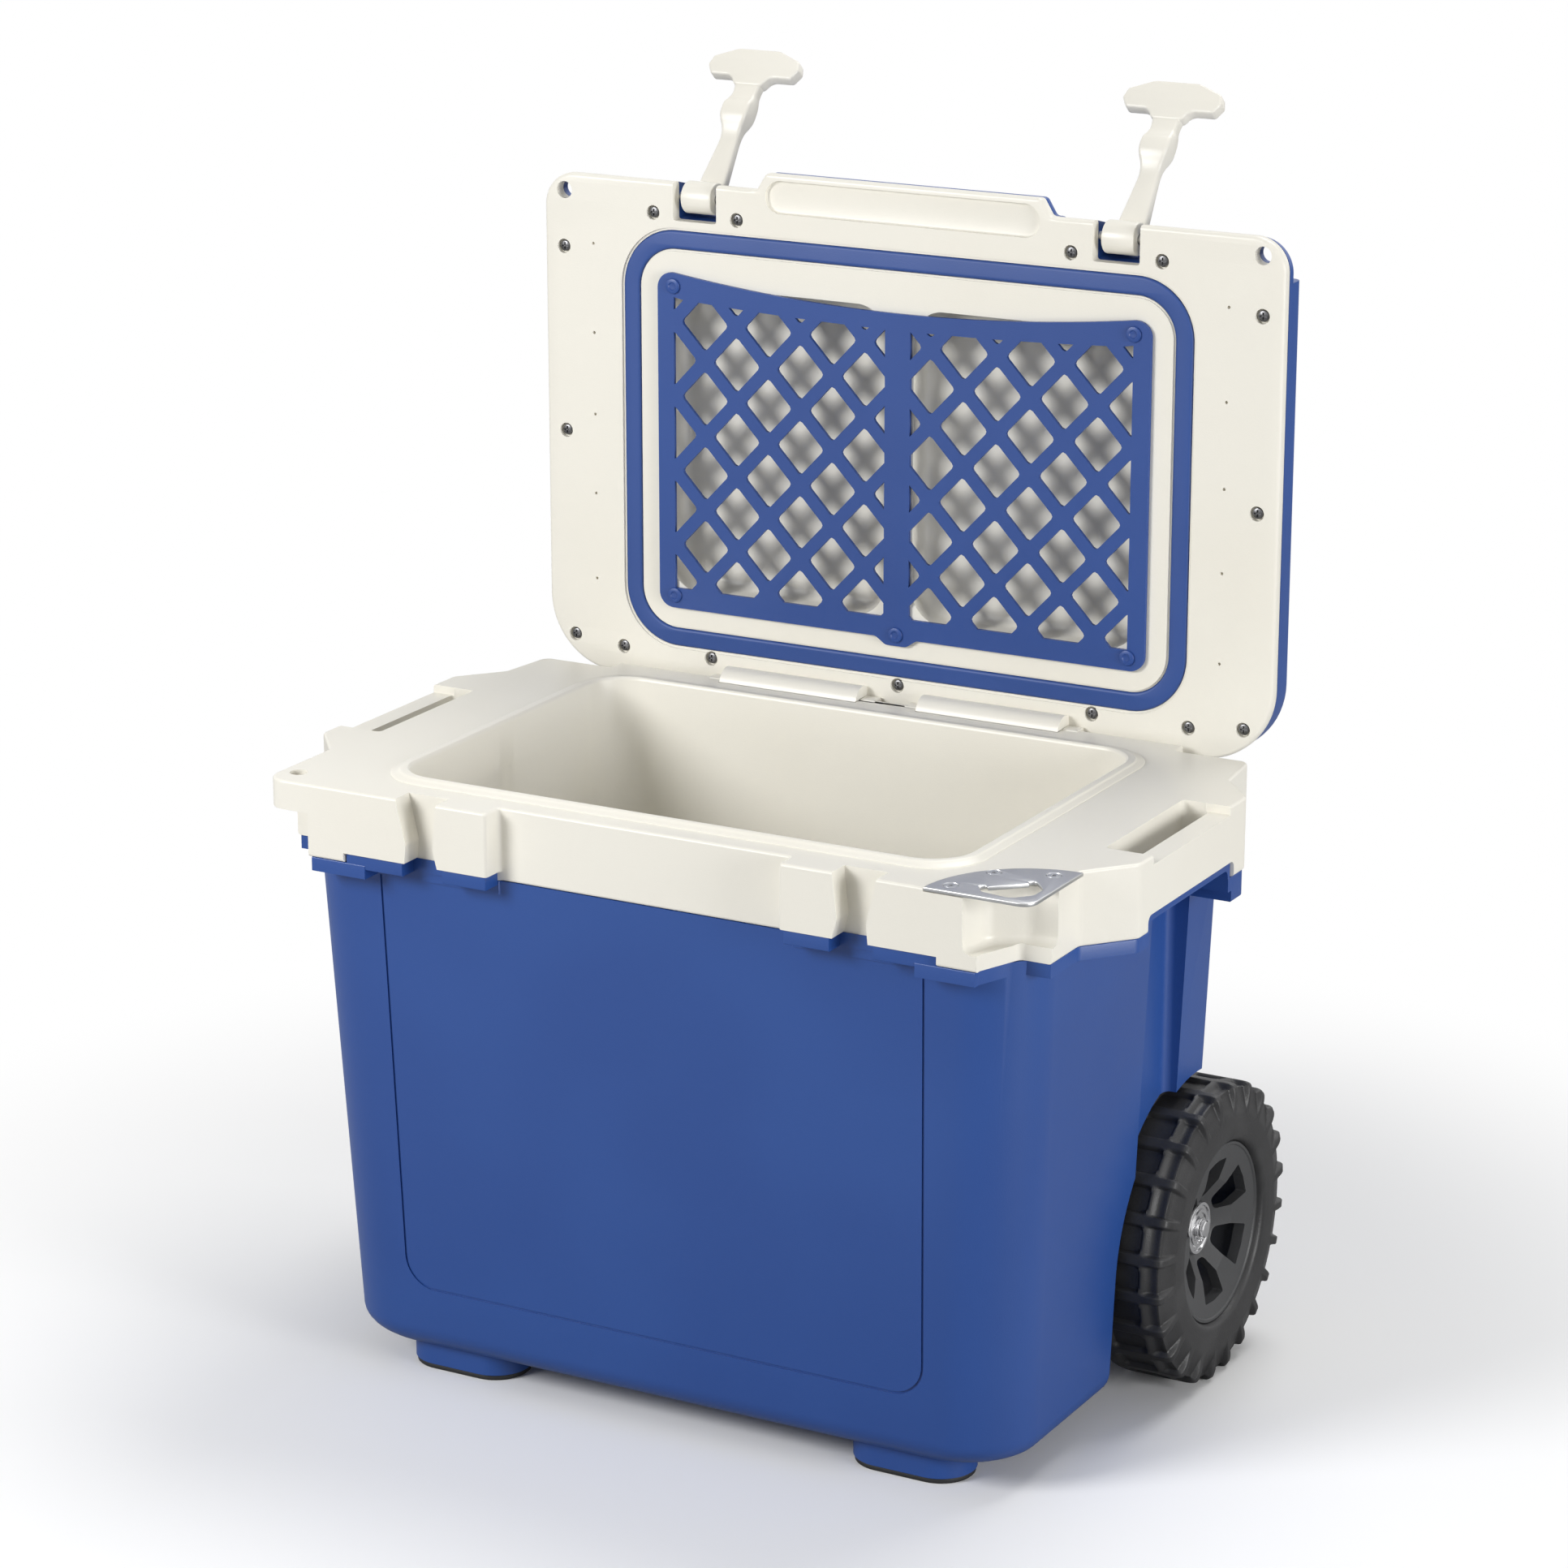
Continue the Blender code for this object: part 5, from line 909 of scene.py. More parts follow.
def grown(name, base, tree, **inputs):
    """Mesh that a tree makes from a base mesh, as a plain object at the origin."""
    item = new_object(name, base)
    change = item.modifiers.new(tree.name, "NODES")
    change.node_group = tree
    for entry in tree.interface.items_tree:
        if entry.in_out == "INPUT" and entry.name in inputs:
            change[entry.identifier] = inputs[entry.name]
    return settle(item)


def on_points(name, piece, places, turn, material):
    base = bpy.data.meshes.new(name + "_places")
    base.from_pydata([tuple(place) for place in places], [], [])
    made = grown(name, base, ON_POINTS, Piece=piece, Turn=turn, Material=material)
    bpy.data.objects.remove(piece)
    return made


def round_axis(name, piece, count, material):
    base = bpy.data.meshes.new(name + "_base")
    made = grown(name, base, ROUND_AXIS, Piece=piece, Count=count, Material=material)
    bpy.data.objects.remove(piece)
    return made


def turned(name, profile, steps=64):
    """Solid turned about Z from (radius, height) points."""
    rings = []
    for radius, height in profile:
        rings.append([(x, y, height) for x, y in circle(0.0, 0.0, max(radius, 0.00002), steps)])
    return loft(name, rings)


print("trees:", ON_POINTS.name, ROUND_AXIS.name)

# %% [markdown]
# ## Bottle opener
# A stainless plate covers the pocket in the right front corner. Its window has a straight back
# edge with a hook at each end, which grips a cap. Three countersunk screws hold it.

# %% Bottle opener
def opener_window():
    """Window with a straight back edge, which stands out between two small slots."""
    slots = ((0.614, 0.247, 1.2), (0.563, 0.295, 1.0), (0.529, 0.258, 0.6), (0.261, 0.508, 0.6),
             (0.295, 0.545, 1.0), (0.244, 0.593, 1.5))
    front = ((0.097, 0.430, 5.0), (0.097, 0.242, 6.0), (0.24, 0.085, 6.0), (0.52, 0.130, 5.0))
    corners = slots + front
    places = opener_places([(x, y) for x, y, _ in corners])
    return fillet([(x, y, radius / 1000) for (x, y), (_, _, radius) in zip(places, corners)], chord=0.0005)


def cross_recess(size, depth):
    """Cross-shaped driver for a screw's head, standing on its top at zero."""
    arms = [slab("arm", [fillet(rectangle(-a, a, -b, b, 0.0001))], -depth, depth)
            for a, b in ((size, size * 0.22), (size * 0.22, size))]
    return join(*arms)


def screw_head(radius, height, sink):
    """Low rounded screw head with a cross recess, top at zero."""
    profile = [(0.0, -height), (radius * 0.96, -height), (radius, -height * 0.55),
               (radius * 0.93, -height * 0.22),
               (radius * 0.75, -height * 0.06), (0.0, 0.0)]
    return cut(turned("screw", profile, 32), cross_recess(radius * 0.62, sink))


plate = slab("opener", [opener_plan(0.0), opener_window()], DECK - 0.0019, DECK + 0.0003, 0.0006)
SCREW_PLACES = opener_places(((0.823, 0.158), (0.663, 0.647), (0.183, 0.812)))
for x, y in SCREW_PLACES:
    cut(plate, rod("hole", (x, y, DECK - 0.003), (x, y, DECK + 0.0008), 0.0026, 48, 0.0044))
smooth(plate)
dress(plate, "body", STEEL, "brushed_steel", "opener_plate")
for index, (x, y) in enumerate(SCREW_PLACES):
    head = turned("head", [(0.0, -0.0018), (0.0024, -0.0018), (0.0037, -0.0002), (0.0036, 0.0),
                           (0.0, 0.0)], 40)
    socket = slab("socket", [circle(0, 0, 0.0013, 6)], -0.0014, 0.001)
    cut(head, socket)
    name = f"opener_screw_{index + 1}"
    piece = on_points(name + "_head", head, [(x, y, DECK + 0.0002)], (0, 0, 0), STEEL)
    smooth(piece)
    dress(piece, "body", STEEL, "brushed_steel", name)
print("opener plate:", len(plate.data.polygons), "faces")

# %% [markdown]
# ## Lid liner
# The cream inside of the lid is a plate with everything moulded into it: a lip at the front, two
# pockets, a groove for the seal, the hinge knuckles, counterbores for the screws and small vents.
# It is drawn lying flat, with x across and the reach from the hinge upwards, and stood up.

# %% Lid liner
LID_HALF_WIDTH = 0.2308
LID_FRONT_REACH = 0.2875
LINER_THICKNESS = 0.0071
LIP_HALF_WIDTH = 0.0855
SCREW_SPOTS = [(0.0, 0.0110)]
for side in (-1, 1):
    SCREW_SPOTS += [(side * x, reach) for x, reach in (
        (0.2181, 0.2448), (0.2181, 0.1366), (0.2136, 0.0144), (0.1586, 0.2692), (0.1042, 0.2692),
        (0.1219, 0.0110), (0.1807, 0.0110))]
PEG_SPOTS = [(0.0, 0.0415)]
for side in (-1, 1):
    PEG_SPOTS += [(side * 0.1442, 0.0470), (side * 0.1442, 0.2285)]


def in_lid(name, outlines, near, far, edge=0.0, rounds=3):
    """Slab of the lid from a near to a far depth behind its flange plane."""
    return slab(name, outlines, -far, -near, edge, LID_PLANE, rounds)


def lid_spot(x, reach, depth=0.0):
    return LID_PLANE @ Vector((x, reach, -depth))


def lid_plan(inset):
    half = [(LID_HALF_WIDTH - inset, -0.0053 + inset, 0.0430 - inset),
            (LID_HALF_WIDTH - inset, LID_FRONT_REACH - inset, 0.0193 - inset)]
    return fillet(mirrored(half), chord=0.0012, most=24)


def lip_plan(inset):
    half = [(0.0975 - inset, 0.2660, 0.0), (0.0975 - inset, LID_FRONT_REACH - inset, 0.003),
            (0.0915 - inset, LID_FRONT_REACH - inset, 0.003), (LIP_HALF_WIDTH - inset, 0.2972 - inset, 0.003)]
    return fillet(mirrored(half), chord=0.0008)


def seal_plan(inset):
    half_width = 0.1783 - inset
    return fillet(rectangle(-half_width, half_width, 0.0159 + inset, 0.2600 - inset, 0.0340 - inset),
                  chord=0.0012, most=24)


def bay_plan(side, grow):
    ends = signed(side, 0.0090 - grow, 0.1480 + grow)
    return fillet(rectangle(*ends, 0.0500 - grow, 0.2290 + grow, 0.0180 + grow), chord=0.0012, most=20)


def latch_slot(side, near, far):
    outline = rectangle(side * LATCH_X - 0.0141, side * LATCH_X + 0.0141, 0.2657, 0.3100, 0.0015)
    return in_lid("latch_slot", [fillet(outline)], near, far)


def make_lid_liner():
    liner = in_lid("lid_liner_plate", [lid_plan(0.0)], 0.0, LINER_THICKNESS, 0.0022, 4)
    join(liner, in_lid("lip", [lip_plan(0.0)], 0.0, LINER_THICKNESS, 0.0018, 4))
    for side in (-1, 1):
        knuckle = rod("knuckle", (side * KNUCKLE_INNER_X, HINGE.y, HINGE.z),
                      (side * KNUCKLE_OUTER_X, HINGE.y, HINGE.z), KNUCKLE_RADIUS, 64)
        trim = box("trim", (-0.3, HINGE.y + 0.0053 + LINER_THICKNESS / 2, HINGE.z - 0.02),
                   (0.3, HINGE.y + 0.03, HINGE.z + 0.02))
        cut(knuckle, trim)
        join(liner, knuckle, in_lid("bay_back", [bay_plan(side, 0.0022)], 0.0035, 0.0202, 0.0020))
    for side in (-1, 1):
        cut(liner, in_lid("bay", [bay_plan(side, 0.0)], -DEEP, 0.0180, 0.0060, 5))
        cut(liner, latch_slot(side, -DEEP, 0.05))
        spot = lid_spot(side * PADLOCK_X, PADLOCK_REACH, -DEEP)
        cut(liner, rod("padlock", spot, spot + Vector((0, 0.05, 0)), 0.005))
    cut(liner, in_lid("groove", [seal_plan(-0.0016), seal_plan(0.0118)], -DEEP, 0.0012))
    cut(liner, in_lid("seal_seat", [seal_plan(-0.0002), seal_plan(0.0108)], -DEEP, 0.0048))
    trough = fillet(rectangle(-LIP_HALF_WIDTH, LIP_HALF_WIDTH, 0.2750, 0.2938, 0.0093), chord=0.0008)
    cut(liner, in_lid("trough", [trough], -DEEP, 0.0025, 0.0012))
    return liner


def counterbores():
    """Every screw's counterbore in one tool."""
    tool = rod("counterbore", (0, 0, 0.0030), (0, 0, -0.0040), 0.0042, 40)
    return on_points("counterbores", tool, [lid_spot(x, reach) for x, reach in SCREW_SPOTS],
                     (-math.pi / 2, 0, 0), CREAM)


def vents():
    """Small blind vents beside the seal."""
    tool = rod("vent", (0, 0, 0.0020), (0, 0, -0.0040), 0.0009, 24)
    reaches = (0.2480, 0.1960, 0.1480, 0.1010, 0.0500)
    spots = [lid_spot(side * 0.1985, reach) for side in (-1, 1) for reach in reaches]
    return on_points("vents", tool, spots, (-math.pi / 2, 0, 0), CREAM)


lid_liner = cut(make_lid_liner(), counterbores())
cut(lid_liner, vents())
smooth(lid_liner, 34)
dress(lid_liner, "lid", CREAM, "cream_plastic", "lid_liner")
print("lid liner:", len(lid_liner.data.polygons), "faces")

# %% [markdown]
# ## Lid shell and seal
# The blue outside of the lid is a shallow dome with a rolled edge. Its front corners are thin, so
# that a padlock's shackle reaches through both lid and rim.

# %% Lid shell and seal
def blend(low, high, value):
    share = max(0.0, min(1.0, (value - low) / (high - low)))
    return share * share * (3 - 2 * share)


def make_lid_shell():
    edge = 0.0055
    levels = [(LINER_THICKNESS + 0.0003, 0.0006)]
    for step in range(9):
        turn = math.pi / 2 * step / 8
        levels.append((0.0246 - edge * (1 - math.sin(turn)), 0.0006 + edge * (1 - math.cos(turn))))
    levels += [(0.0250, 0.0300), (0.0256, 0.0312), (0.0325, 0.0372), (0.0335, 0.0395)]
    rings = []
    for depth, inset in levels:
        lean = 0.25 * max(0.0, min(depth, 0.0246) - LINER_THICKNESS)
        rings.append([LID_PLANE @ Vector((x, reach - lean * blend(0.20, 0.28, reach), -depth))
                      for x, reach in lid_plan_steady(inset)])
    dome = loft("lid_dome", rings)
    lip = in_lid("dome_lip", [lip_plan(0.0006)], LINER_THICKNESS + 0.0003, 0.0123, 0.0012)
    join(dome, lip)
    for side in (-1, 1):
        cut(dome, in_lid("bay_room", [bay_plan(side, 0.0025)], 0.0, 0.0205))
        outline = rectangle(*signed(side, 0.2030, 0.2600), 0.2620, 0.3200, 0.0040)
        cut(dome, in_lid("thin_corner", [fillet(outline)], 0.0120, 0.06))
        cut(dome, latch_slot(side, 0.0, 0.0225))
        spot = lid_spot(side * PADLOCK_X, PADLOCK_REACH, -DEEP)
        cut(dome, rod("padlock", spot, spot + Vector((0, 0.05, 0)), 0.005))
    return dome


def lid_plan_steady(inset):
    """Lid outline with the same number of points at every inset."""
    points = []
    for x, reach, radius in mirrored([(LID_HALF_WIDTH - inset, -0.0053 + inset, max(0.0430 - inset, 0.008)),
                                      (LID_HALF_WIDTH - inset, LID_FRONT_REACH - inset, max(0.0193 - inset, 0.006))]):
        points.append((x, reach, radius))
    return fillet(points, chord=0.00001, most=16)


lid_shell = make_lid_shell()
smooth(lid_shell, 34)
dress(lid_shell, "lid", BLUE, "blue_plastic", "lid_shell")
seal = in_lid("lid_seal_ring", [seal_plan(0.0), seal_plan(0.0106)], 0.0, 0.0045, 0.0016, 4)
smooth(seal)
dress(seal, "lid", SEAL_BLUE, "blue_rubber", "lid_seal")
print("lid shell:", len(lid_shell.data.polygons), "faces")

# %% [markdown]
# ## Cargo net
# The net over the pockets is one flat moulding of soft plastic. Its diamond gaps are cut by a
# tool that Geometry Nodes stands on every crossing, and a window keeps the border whole. The top
# edge sags in the middle, because that is where a hand pulls it forward.

# %% Cargo net
NET_STEP_X = 0.02061
NET_STEP_REACH = 0.02177
NET_FRONT = -0.0025
NET_THICKNESS = 0.0022
GAP_SHARE = 0.75


def net_top(x, corner, middle):
    """Reach of the sagging top edge."""
    return middle + (corner - middle) * (x / 0.1545) ** 2


def net_plan():
    top = [(x / 1000, net_top(x / 1000, 0.2375, 0.2260), 0.0) for x in range(145, -146, -10)]
    tab = [(-0.0130, 0.0395, 0.004), (-0.0065, 0.0350, 0.004),
           (0.0065, 0.0350, 0.004), (0.0130, 0.0395, 0.004)]
    corners = [(-0.1545, 0.0395, 0.009), *tab, (0.1545, 0.0395, 0.009), (0.1545, 0.2375, 0.009)]
    return fillet(corners + top + [(-0.1545, 0.2375, 0.009)])


def net_window(side):
    top = [(side * x / 1000, net_top(x / 1000, 0.2222, 0.2166)) for x in range(138, 11, -6)]
    outline = [(side * 0.0079, 0.0513), (side * 0.1440, 0.0513), (side * 0.1440, 0.2222)] + top
    return outline + [(side * 0.0079, 0.2166)]


def make_net():
    net = in_lid("net", [net_plan()], NET_FRONT, NET_FRONT + NET_THICKNESS)
    wide = NET_STEP_X * GAP_SHARE
    high = NET_STEP_REACH * GAP_SHARE
    corners = [(wide, 0, 0.0022), (0, high, 0.0022), (-wide, 0, 0.0022), (0, -high, 0.0022)]
    gap = slab("gap", [fillet(corners)],
               -0.004, 0.006)
    spots = []
    for column in range(-8, 9):
        shift = NET_STEP_REACH if column % 2 else 0.0
        for row in range(-2, 6):
            reach = 0.0780 + shift + 2 * NET_STEP_REACH * row
            spots.append(lid_spot(NET_STEP_X * column, reach, NET_FRONT))
    gaps = on_points("gaps", gap, spots, (math.pi / 2, 0, 0), NET_BLUE)
    windows = merge("windows", *[in_lid("window", [net_window(side)], -0.006, 0.004) for side in (-1, 1)])
    change = gaps.modifiers.new("kept", "BOOLEAN")
    change.operation = "INTERSECT"
    change.solver = "EXACT"
    change.object = windows
    settle(gaps)
    bpy.data.objects.remove(windows)
    return soften(settle(cut(net, gaps)), 0.0005, 2, 40)


net = make_net()
dress(net, "lid", NET_BLUE, "blue_plastic", "cargo_net")
for index, (x, reach) in enumerate(PEG_SPOTS):
    button = turned("peg", [(0.0, 0.0001), (0.0043, 0.0001), (0.0045, 0.0006), (0.0042, 0.0012),
                            (0.0034, 0.0015),
                            (0.0024, 0.0015), (0.0019, 0.0009), (0.0, 0.0008)], 40)
    peg = on_points(f"peg_{index + 1}", button, [lid_spot(x, reach, NET_FRONT)],
                    (math.pi / 2, 0, 0), NET_BLUE)
    smooth(peg)
    dress(peg, "lid", NET_BLUE, "blue_plastic", f"net_peg_{index + 1}")
print("net:", len(net.data.polygons), "faces and", len(PEG_SPOTS), "pegs")

# %% [markdown]
# ## Lid screws
# Fifteen cross-head screws hold the liner to the shell, each at the bottom of a counterbore.
# Their dark tint is painted shade for the counterbores. They are copies of one head, in the order of the frame's
# solids.

# %% Lid screws
# The heads take the dark material, whose tint is painted shade standing in for the counterbores' shade.
screws = on_points("lid_screw_heads", screw_head(0.0032, 0.0020, 0.0011),
                   [lid_spot(x, reach, 0.0008) for x, reach in SCREW_SPOTS], (math.pi / 2, 0, 0), SHADE_PAINTED_SCREW)
smooth(screws)
dress(screws, "lid", SHADE_PAINTED_SCREW, "dark_screw", *[f"lid_screw_{index + 1}" for index in range(15)])
print("lid screws:", len(SCREW_SPOTS))

# %% [markdown]
# ## Latches
# Each latch is one piece of tough rubber: a barrel round its pin, an arm that narrows and then
# swells to hook below the keeper, and a T to pull on. The arm is a loft through rounded
# sections, and the T is a slab with soft edges.

# %% Latches
ARM_STATIONS = (
    (0.0000, 0.0088, 0.0029, 0.0088), (0.0100, 0.0088, 0.0029, 0.0088), (0.0200, 0.0080, 0.0029, 0.0088),
    (0.0320, 0.0068, 0.0029, 0.0088), (0.0420, 0.0060, 0.0027, 0.0088), (0.0480, 0.0064, 0.0010, 0.0090),
    (0.0530, 0.0080, -0.0018, 0.0096), (0.0570, 0.0088, -0.0030, 0.0099), (0.0630, 0.0088, -0.0028, 0.0098),
    (0.0675, 0.0084, -0.0002, 0.0094), (0.0715, 0.0078, 0.0010, 0.0088), (0.0780, 0.0085, 0.0010, 0.0084),
    (0.0850, 0.0110, 0.0010, 0.0082),
)
TEE_SHARES = ((0.30, 1.0, 4), (0.42, 0.5, 6), (0.88, 0.5, 2.5),
              (1.0, 0.0, 2.5), (0.94, -0.5, 2.5), (0.45, -1.0, 8))


def between(values, place):
    """Smooth value at a place among stations, by a Catmull-Rom curve."""
    index = min(int(place), len(values) - 2)
    share = place - index
    before = values[max(index - 1, 0)]
    first, second = values[index], values[index + 1]
    after = values[min(index + 2, len(values) - 1)]
    return 0.5 * (2 * first + (second - before) * share
                  + (2 * before - 5 * first + 4 * second - after) * share ** 2
                  + (3 * first - before - 3 * second + after) * share ** 3)


def arm_section(half_width, back, front, distance):
    """Rounded oblong across the arm."""
    outline = rectangle(-half_width, half_width, back, front, 0.0020)
    return [(x, y, -distance) for x, y in fillet(outline, chord=0.00001, most=5)]


def make_latch(side):
    joint = JOINTS[f"latch_{side_name(side)}_hinge"]
    sections = []
    for step in range(61):
        place = step / 60 * (len(ARM_STATIONS) - 1)
        distance, half_width, back, front = [between(column, place) for column in zip(*ARM_STATIONS)]
        sections.append(arm_section(half_width, back, front, distance))
    arm = loft("arm", sections)
    half = [(0.0297 * wide, -0.0890 + 0.0120 * high, radius / 1000) for wide, high, radius in TEE_SHARES]
    tee = slab("tee", [fillet(mirrored(half), chord=0.0006)], -0.0085, -0.0005, 0.0014, UPRIGHT, 4)
    barrel_plan = circle(0.0, 0.0, 0.0092, 64)
    barrel = slab("barrel", [barrel_plan, circle(0.0, 0.0, 0.0028, 32)], -0.0096, 0.0096, 0.0008, ALONG_X)
    latch = join(merge("latch_solid", tee), arm)
    join(latch, barrel)
    bore = rod("bore", (-0.02, 0, 0), (0.02, 0, 0), 0.0028, 32)
    cut(latch, bore)
    pivot = Vector(joint["pos_m"])
    hang = Matrix.Translation(pivot) @ Matrix.Rotation(math.radians(-90 - 130.8), 4, "X")
    latch.data.transform(hang @ Matrix.Scale(-1, 4, (0, 1, 0)))
    latch.data.flip_normals()
    return latch


for side in (-1, 1):
    latch = make_latch(side)
    latch.name = "latch_moulding_" + side_name(side)
    smooth(latch, 34)
    dress(latch, "latch_" + side_name(side), CREAM, "cream_plastic", "latch_" + side_name(side))
    print(latch.name, "faces:", len(latch.data.polygons))

# %% [markdown]
# ## Tyres
# The tread is a ring of rounded pockets between ribs, and the ribs run on over the outer
# shoulder. One cell of it is a grid bent round the axle, with its height worked out from the
# place in the cell. Geometry Nodes turns the cell round the axle and closes the ring.

# %% Tyres
TREAD_CELLS = 24
WHEEL_RADIUS = 0.0848
TYRE_SECTION = (
    (0.0515, -0.0190, 0.0), (0.0530, -0.0222, 0.0), (0.0620, -0.0232, 0.0), (0.0720, -0.0231, 0.0),
    (0.0795, -0.0226, 0.0), (0.0834, -0.0210, 0.0), (0.0846, -0.0170, 0.0), (0.0848, -0.0110, 0.0),
    (0.0848, -0.0020, 0.0), (0.0848, 0.0090, 0.0), (0.0848, 0.0140, 1.0), (0.0846, 0.0190, 1.0),
    (0.0832, 0.0216, 1.0), (0.0790, 0.0229, 1.0), (0.0735, 0.0231, 0.5), (0.0670, 0.0231, 0.0),
    (0.0590, 0.0230, 0.0), (0.0535, 0.0222, 0.0), (0.0515, 0.0190, 0.0),
)


def pocket_depth(across, along):
    """Depth of the rounded pocket at a place in the tread cell, in metres."""
    half_across, half_along, corner = 0.0076, 0.0102, 0.0030
    dx = abs(across) - half_across + corner
    dy = abs(along + 0.0015) - half_along + corner
    outside = math.hypot(max(dx, 0.0), max(dy, 0.0)) + min(max(dx, dy), 0.0) - corner
    return 0.0027 * blend(0.0008, -0.0010, outside) if outside < 0.0008 else 0.0


def tread_cell():
    across_steps, along_steps = 36, 120
    pitch = 2 * math.pi / TREAD_CELLS
    count = len(TYRE_SECTION) - 1
    section = []
    for step in range(along_steps + 1):
        place = step / along_steps * count
        section.append([between(column, place) for column in zip(*TYRE_SECTION)])
    shape = bmesh.new()
    rows = []
    for index, (radius, height, shoulder) in enumerate(section):
        last = section[max(index - 1, 0)]
        following = section[min(index + 1, along_steps)]
        normal = Vector((following[1] - last[1], last[0] - following[0])).normalized()
        row = []
        for step in range(across_steps + 1):
            share = step / across_steps - 0.5
            across = share * pitch * WHEEL_RADIUS
            rib = blend(0.0076, 0.0090, abs(across))
            sink = max(shoulder * 0.0032 * (1 - rib), 0.0)
            if radius > 0.083:
                sink = max(sink, pocket_depth(across, height))
            turn = share * pitch
            out = radius - normal.x * sink
            point = (out * math.cos(turn), out * math.sin(turn), height - normal.y * sink)
            row.append(shape.verts.new(point))
        rows.append(row)
    rows.append(rows[0])
    for lower, upper in zip(rows, rows[1:]):
        for step in range(across_steps):
            shape.faces.new((lower[step], lower[step + 1], upper[step + 1], upper[step]))
    mesh = bpy.data.meshes.new("tread_cell")
    shape.to_mesh(mesh)
    shape.free()
    return new_object("tread_cell", mesh)


def at_wheel(item, side):
    """Stands a piece turned about Z at a wheel, its +Z outwards."""
    joint = Vector(JOINTS[f"wheel_{side_name(side)}_spin"]["pos_m"])
    item.data.transform(Matrix.Translation(joint) @ Matrix.Rotation(side * math.pi / 2, 4, "Y"))
    return item


def face_outwards(item):
    shape = bmesh.new()
    shape.from_mesh(item.data)
    bmesh.ops.recalc_face_normals(shape, faces=shape.faces)
    shape.to_mesh(item.data)
    shape.free()
    return item


for side in (-1, 1):
    tyre = round_axis("tyre_tread_" + side_name(side), tread_cell(), TREAD_CELLS, TYRE)
    smooth(at_wheel(face_outwards(tyre), side), 50)
    dress(tyre, "wheel_" + side_name(side), TYRE, "tyre", "tyre_" + side_name(side))
    print(tyre.name, "faces:", len(tyre.data.polygons))

# %% [markdown]
# ## Hubs
# The grey hub is a dished disc. Between a round core and a round rim its face follows a
# twelve-sided bend, which leaves six flat spokes with a crease half way, and six windows with
# round inner ends are cut between them.

# %% Hubs
HUB_FACE = 0.0196


def hub_ring(radius, height, sides):
    """Ring of points on a circle, or on a polygon with that radius at the middle of its sides."""
    ring = []
    for step in range(144):
        turn = 2 * math.pi * (step + 0.5) / 144
        reach = radius
        if sides:
            half = math.pi / sides
            reach = radius / math.cos((turn + half) % (2 * half) - half)
        ring.append((reach * math.cos(turn), reach * math.sin(turn), height))
    return ring


def make_hub():
    front = [(0.0051, 0.0055, 0), (0.0150, 0.0055, 0), (0.0160, 0.0060, 0), (0.0283, 0.0140, 12),
             (0.0345, 0.0156, 0), (0.0440, 0.0180, 0), (0.0488, HUB_FACE - 0.0008, 0),
             (0.0494, HUB_FACE, 0), (0.0508, HUB_FACE, 0), (0.0512, HUB_FACE - 0.0006, 0)]
    back = [(0.0512, -HUB_FACE, 0), (0.0445, -HUB_FACE, 0), (0.0445, 0.0118, 0),
            (0.0283, 0.0080, 12), (0.0165, 0.0008, 0), (0.0165, -HUB_FACE, 0), (0.0051, -HUB_FACE, 0)]
    rings = [hub_ring(*entry) for entry in front + back]
    shape = bmesh.new()
    loops = [[shape.verts.new(point) for point in ring] for ring in rings]
    for lower, upper in zip(loops, loops[1:] + loops[:1]):
        for index in range(len(lower)):
            following = (index + 1) % len(lower)
            shape.faces.new((lower[index], lower[following], upper[following], upper[index]))
    bmesh.ops.recalc_face_normals(shape, faces=shape.faces)
    mesh = bpy.data.meshes.new("hub")
    shape.to_mesh(mesh)
    shape.free()
    hub = new_object("hub", mesh)
    half = [(0.0182, 0.0044, 0.0040), (0.0268, 0.0091, 0.0060), (0.0398, 0.0119, 0.0012)]
    outline = [(x, -y, radius) for x, y, radius in half] + [(0.0412, 0.0, 0.02)] + half[::-1]
    window = slab("window", [fillet(outline, chord=0.0005)], -0.03, 0.03)
    return cut(hub, round_axis("windows", window, 6, GREY))


def make_axle_end():
    """Flanged bush, concentric washer and grooved axle end."""
    cup = turned("cup", [(0.0050, 0.0057), (0.0146, 0.0057), (0.0149, 0.0061), (0.0149, 0.0068),
                         (0.0145, 0.0075), (0.0130, 0.0075), (0.0126, 0.0067), (0.0110, 0.0067),
                         (0.0106, 0.0076),
                         (0.0088, 0.0076), (0.0084, 0.0068), (0.0050, 0.0068)], 64)
    axle = turned("axle", [(0.0, -0.0420), (0.0048, -0.0420), (0.0048, 0.0080), (0.0041, 0.0081),
                           (0.0041, 0.0090), (0.0048, 0.0091), (0.0048, 0.0110), (0.0044, 0.0116),
                           (0.0037, 0.0117), (0.0, 0.0117)], 48)
    return cup, axle


def clip_ring():
    """Retaining clip: an open ring with two small ears."""
    points = []
    for step in range(41):
        turn = math.radians(20 + 320 * step / 40)
        points.append((0.0064 * math.cos(turn), 0.0064 * math.sin(turn)))
    for step in range(41):
        turn = math.radians(340 - 320 * step / 40)
        points.append((0.0042 * math.cos(turn), 0.0042 * math.sin(turn)))
    ears = [slab("ear", [circle(0.0066, way * 0.0023, 0.0012, 24)], 0.0081, 0.0089, 0.0002)
            for way in (-1, 1)]
    return join(slab("clip", [points], 0.0081, 0.0089, 0.0002), *ears)


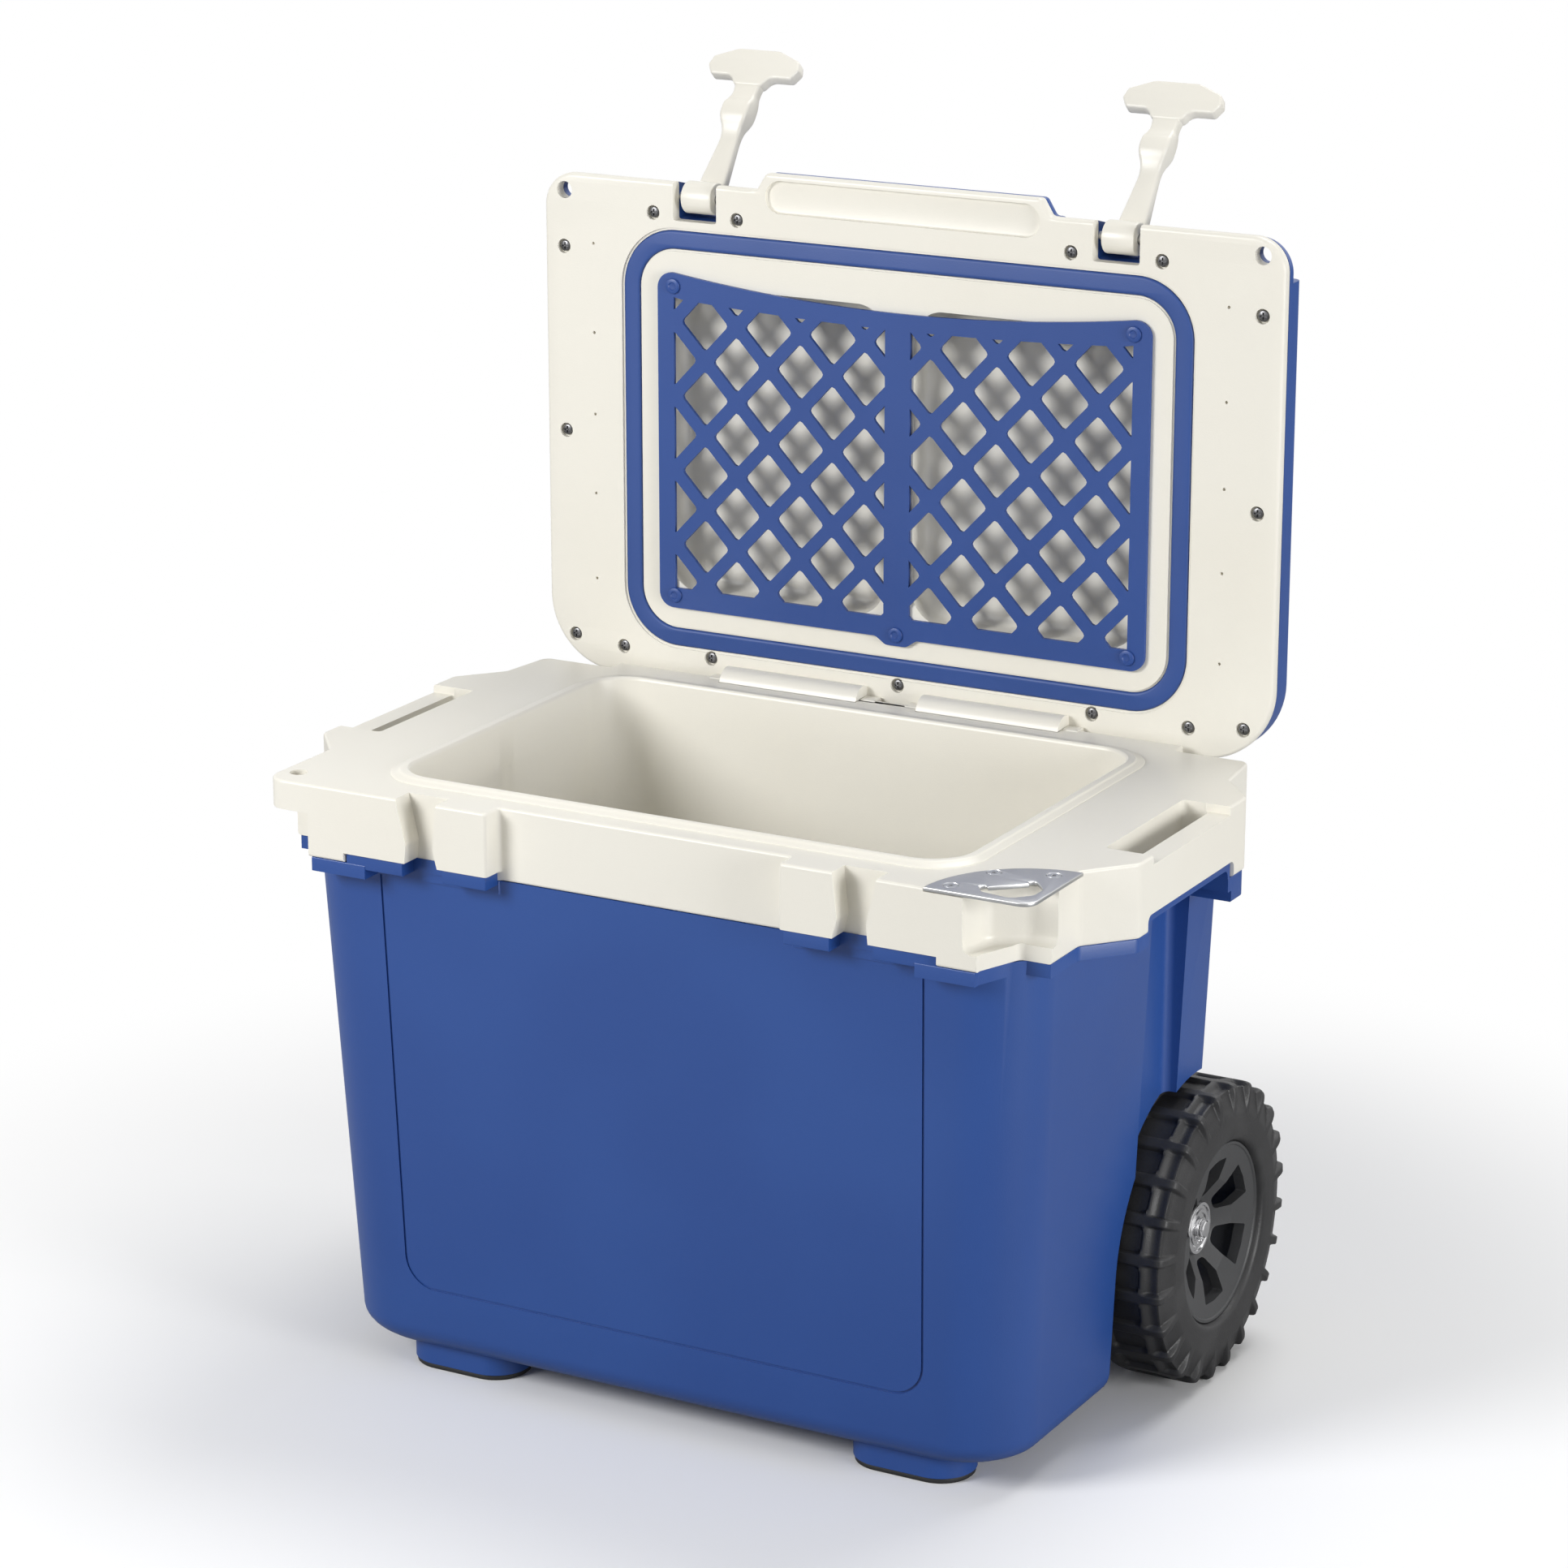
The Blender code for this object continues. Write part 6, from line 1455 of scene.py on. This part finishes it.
for side in (-1, 1):
    name = side_name(side)
    hub = smooth(at_wheel(make_hub(), side), 12)
    hub.name = "hub_" + name
    dress(hub, "wheel_" + name, GREY, "grey_plastic", "wheel_hub_" + name)
    cup, axle = make_axle_end()
    cup.name = "bush_" + name
    smooth(at_wheel(cup, side), 30)
    dress(cup, "body", CHROME, "bright_chrome", "axle_washer_" + name)
    ends = merge("axle_end_" + name, axle, clip_ring())
    smooth(at_wheel(ends, side), 30)
    dress(ends, "body", CHROME, "bright_chrome", "axle_" + name)
print("hubs and axle ends for both wheels")

# %% [markdown]
# ## Floor, light and camera
# The cooler stands on a pale sweep in soft studio light: a wide lamp in front at the left, one
# low at the right, one above and behind, and dim even surroundings that look white directly.

# %% Floor
def make_floor():
    """White sweep that keeps the shadow near the cooler and lights it only a little from below."""
    mesh = bpy.data.meshes.new("floor")
    shape = bmesh.new()
    bmesh.ops.create_grid(shape, x_segments=1, y_segments=1, size=12.0)
    shape.to_mesh(mesh)
    shape.free()
    floor = new_object("floor", mesh)
    finish = Finish("pale_floor")
    seen = finish.add("ShaderNodeLightPath", {}, output="Is Camera Ray")
    finish.set(Base_Color=finish.mix(seen, opaque(0.42, 0.42, 0.42), opaque(0.97, 0.97, 0.97)),
               Roughness=0.7, Specular_IOR_Level=0.2)
    away = finish.add("ShaderNodeVectorMath", {"operation": "LENGTH"}, finish.place(), output="Value")
    white = finish.add("ShaderNodeEmission", {}, Color=opaque(1.0, 1.0, 1.0), Strength=1.0)
    blend_in = finish.add("ShaderNodeMixShader", {}, seen * away.step(0.35, 0.72),
                          Number(finish, finish.shader.outputs["BSDF"]), white)
    finish.feed(finish.tree.nodes["Material Output"].inputs["Surface"], blend_in)
    mesh.materials.append(finish.material)
    return floor


make_floor()

# %% Light
def area_lamp(name, place, target, size, power):
    lamp = bpy.data.lights.new(name, "AREA")
    lamp.shape = "DISK"
    lamp.size = size
    lamp.energy = power
    item = bpy.data.objects.new(name, lamp)
    bpy.context.scene.collection.objects.link(item)
    item.location = place
    item.rotation_euler = (Vector(target) - Vector(place)).to_track_quat("-Z", "Y").to_euler()
    return item


def make_world():
    """Even grey surroundings that look white to the camera and in reflections."""
    world = bpy.data.worlds.new("studio")
    world.use_nodes = True
    nodes = world.node_tree.nodes
    background = nodes["Background"]
    path = nodes.new("ShaderNodeLightPath")
    either = nodes.new("ShaderNodeMath")
    either.operation = "MAXIMUM"
    tint = nodes.new("ShaderNodeMix")
    tint.data_type = "RGBA"
    tint.inputs[6].default_value = (0.22, 0.22, 0.22, 1.0)
    tint.inputs[7].default_value = (1.0, 1.0, 1.0, 1.0)
    link = world.node_tree.links.new
    link(path.outputs["Is Camera Ray"], either.inputs[0])
    link(path.outputs["Is Glossy Ray"], either.inputs[1])
    link(either.outputs[0], tint.inputs[0])
    link(tint.outputs[2], background.inputs["Color"])
    background.inputs["Strength"].default_value = 1.0
    bpy.context.scene.world = world


MIDDLE = (0.0, 0.0, 0.35)
area_lamp("key", (-1.0, -1.7, 1.2), MIDDLE, 0.9, 33.0)
area_lamp("fill", (2.2, -0.5, 0.6), MIDDLE, 1.0, 30.0)
area_lamp("back", (0.3, 1.2, 2.6), MIDDLE, 1.6, 34.0)
make_world()

# %% Camera
camera_data = bpy.data.cameras.new("photo_view")
camera_data.sensor_width = 36.0
camera_data.lens = 109.24
camera = bpy.data.objects.new("photo_view", camera_data)
bpy.context.scene.collection.objects.link(camera)
camera.location = (1.2021, HINGE.y - 2.3115, DECK + 0.7347)
camera.rotation_euler = Euler((1.2788, 0.0, 0.5033))
bpy.context.scene.camera = camera
bpy.context.scene.view_settings.view_transform = "Standard"
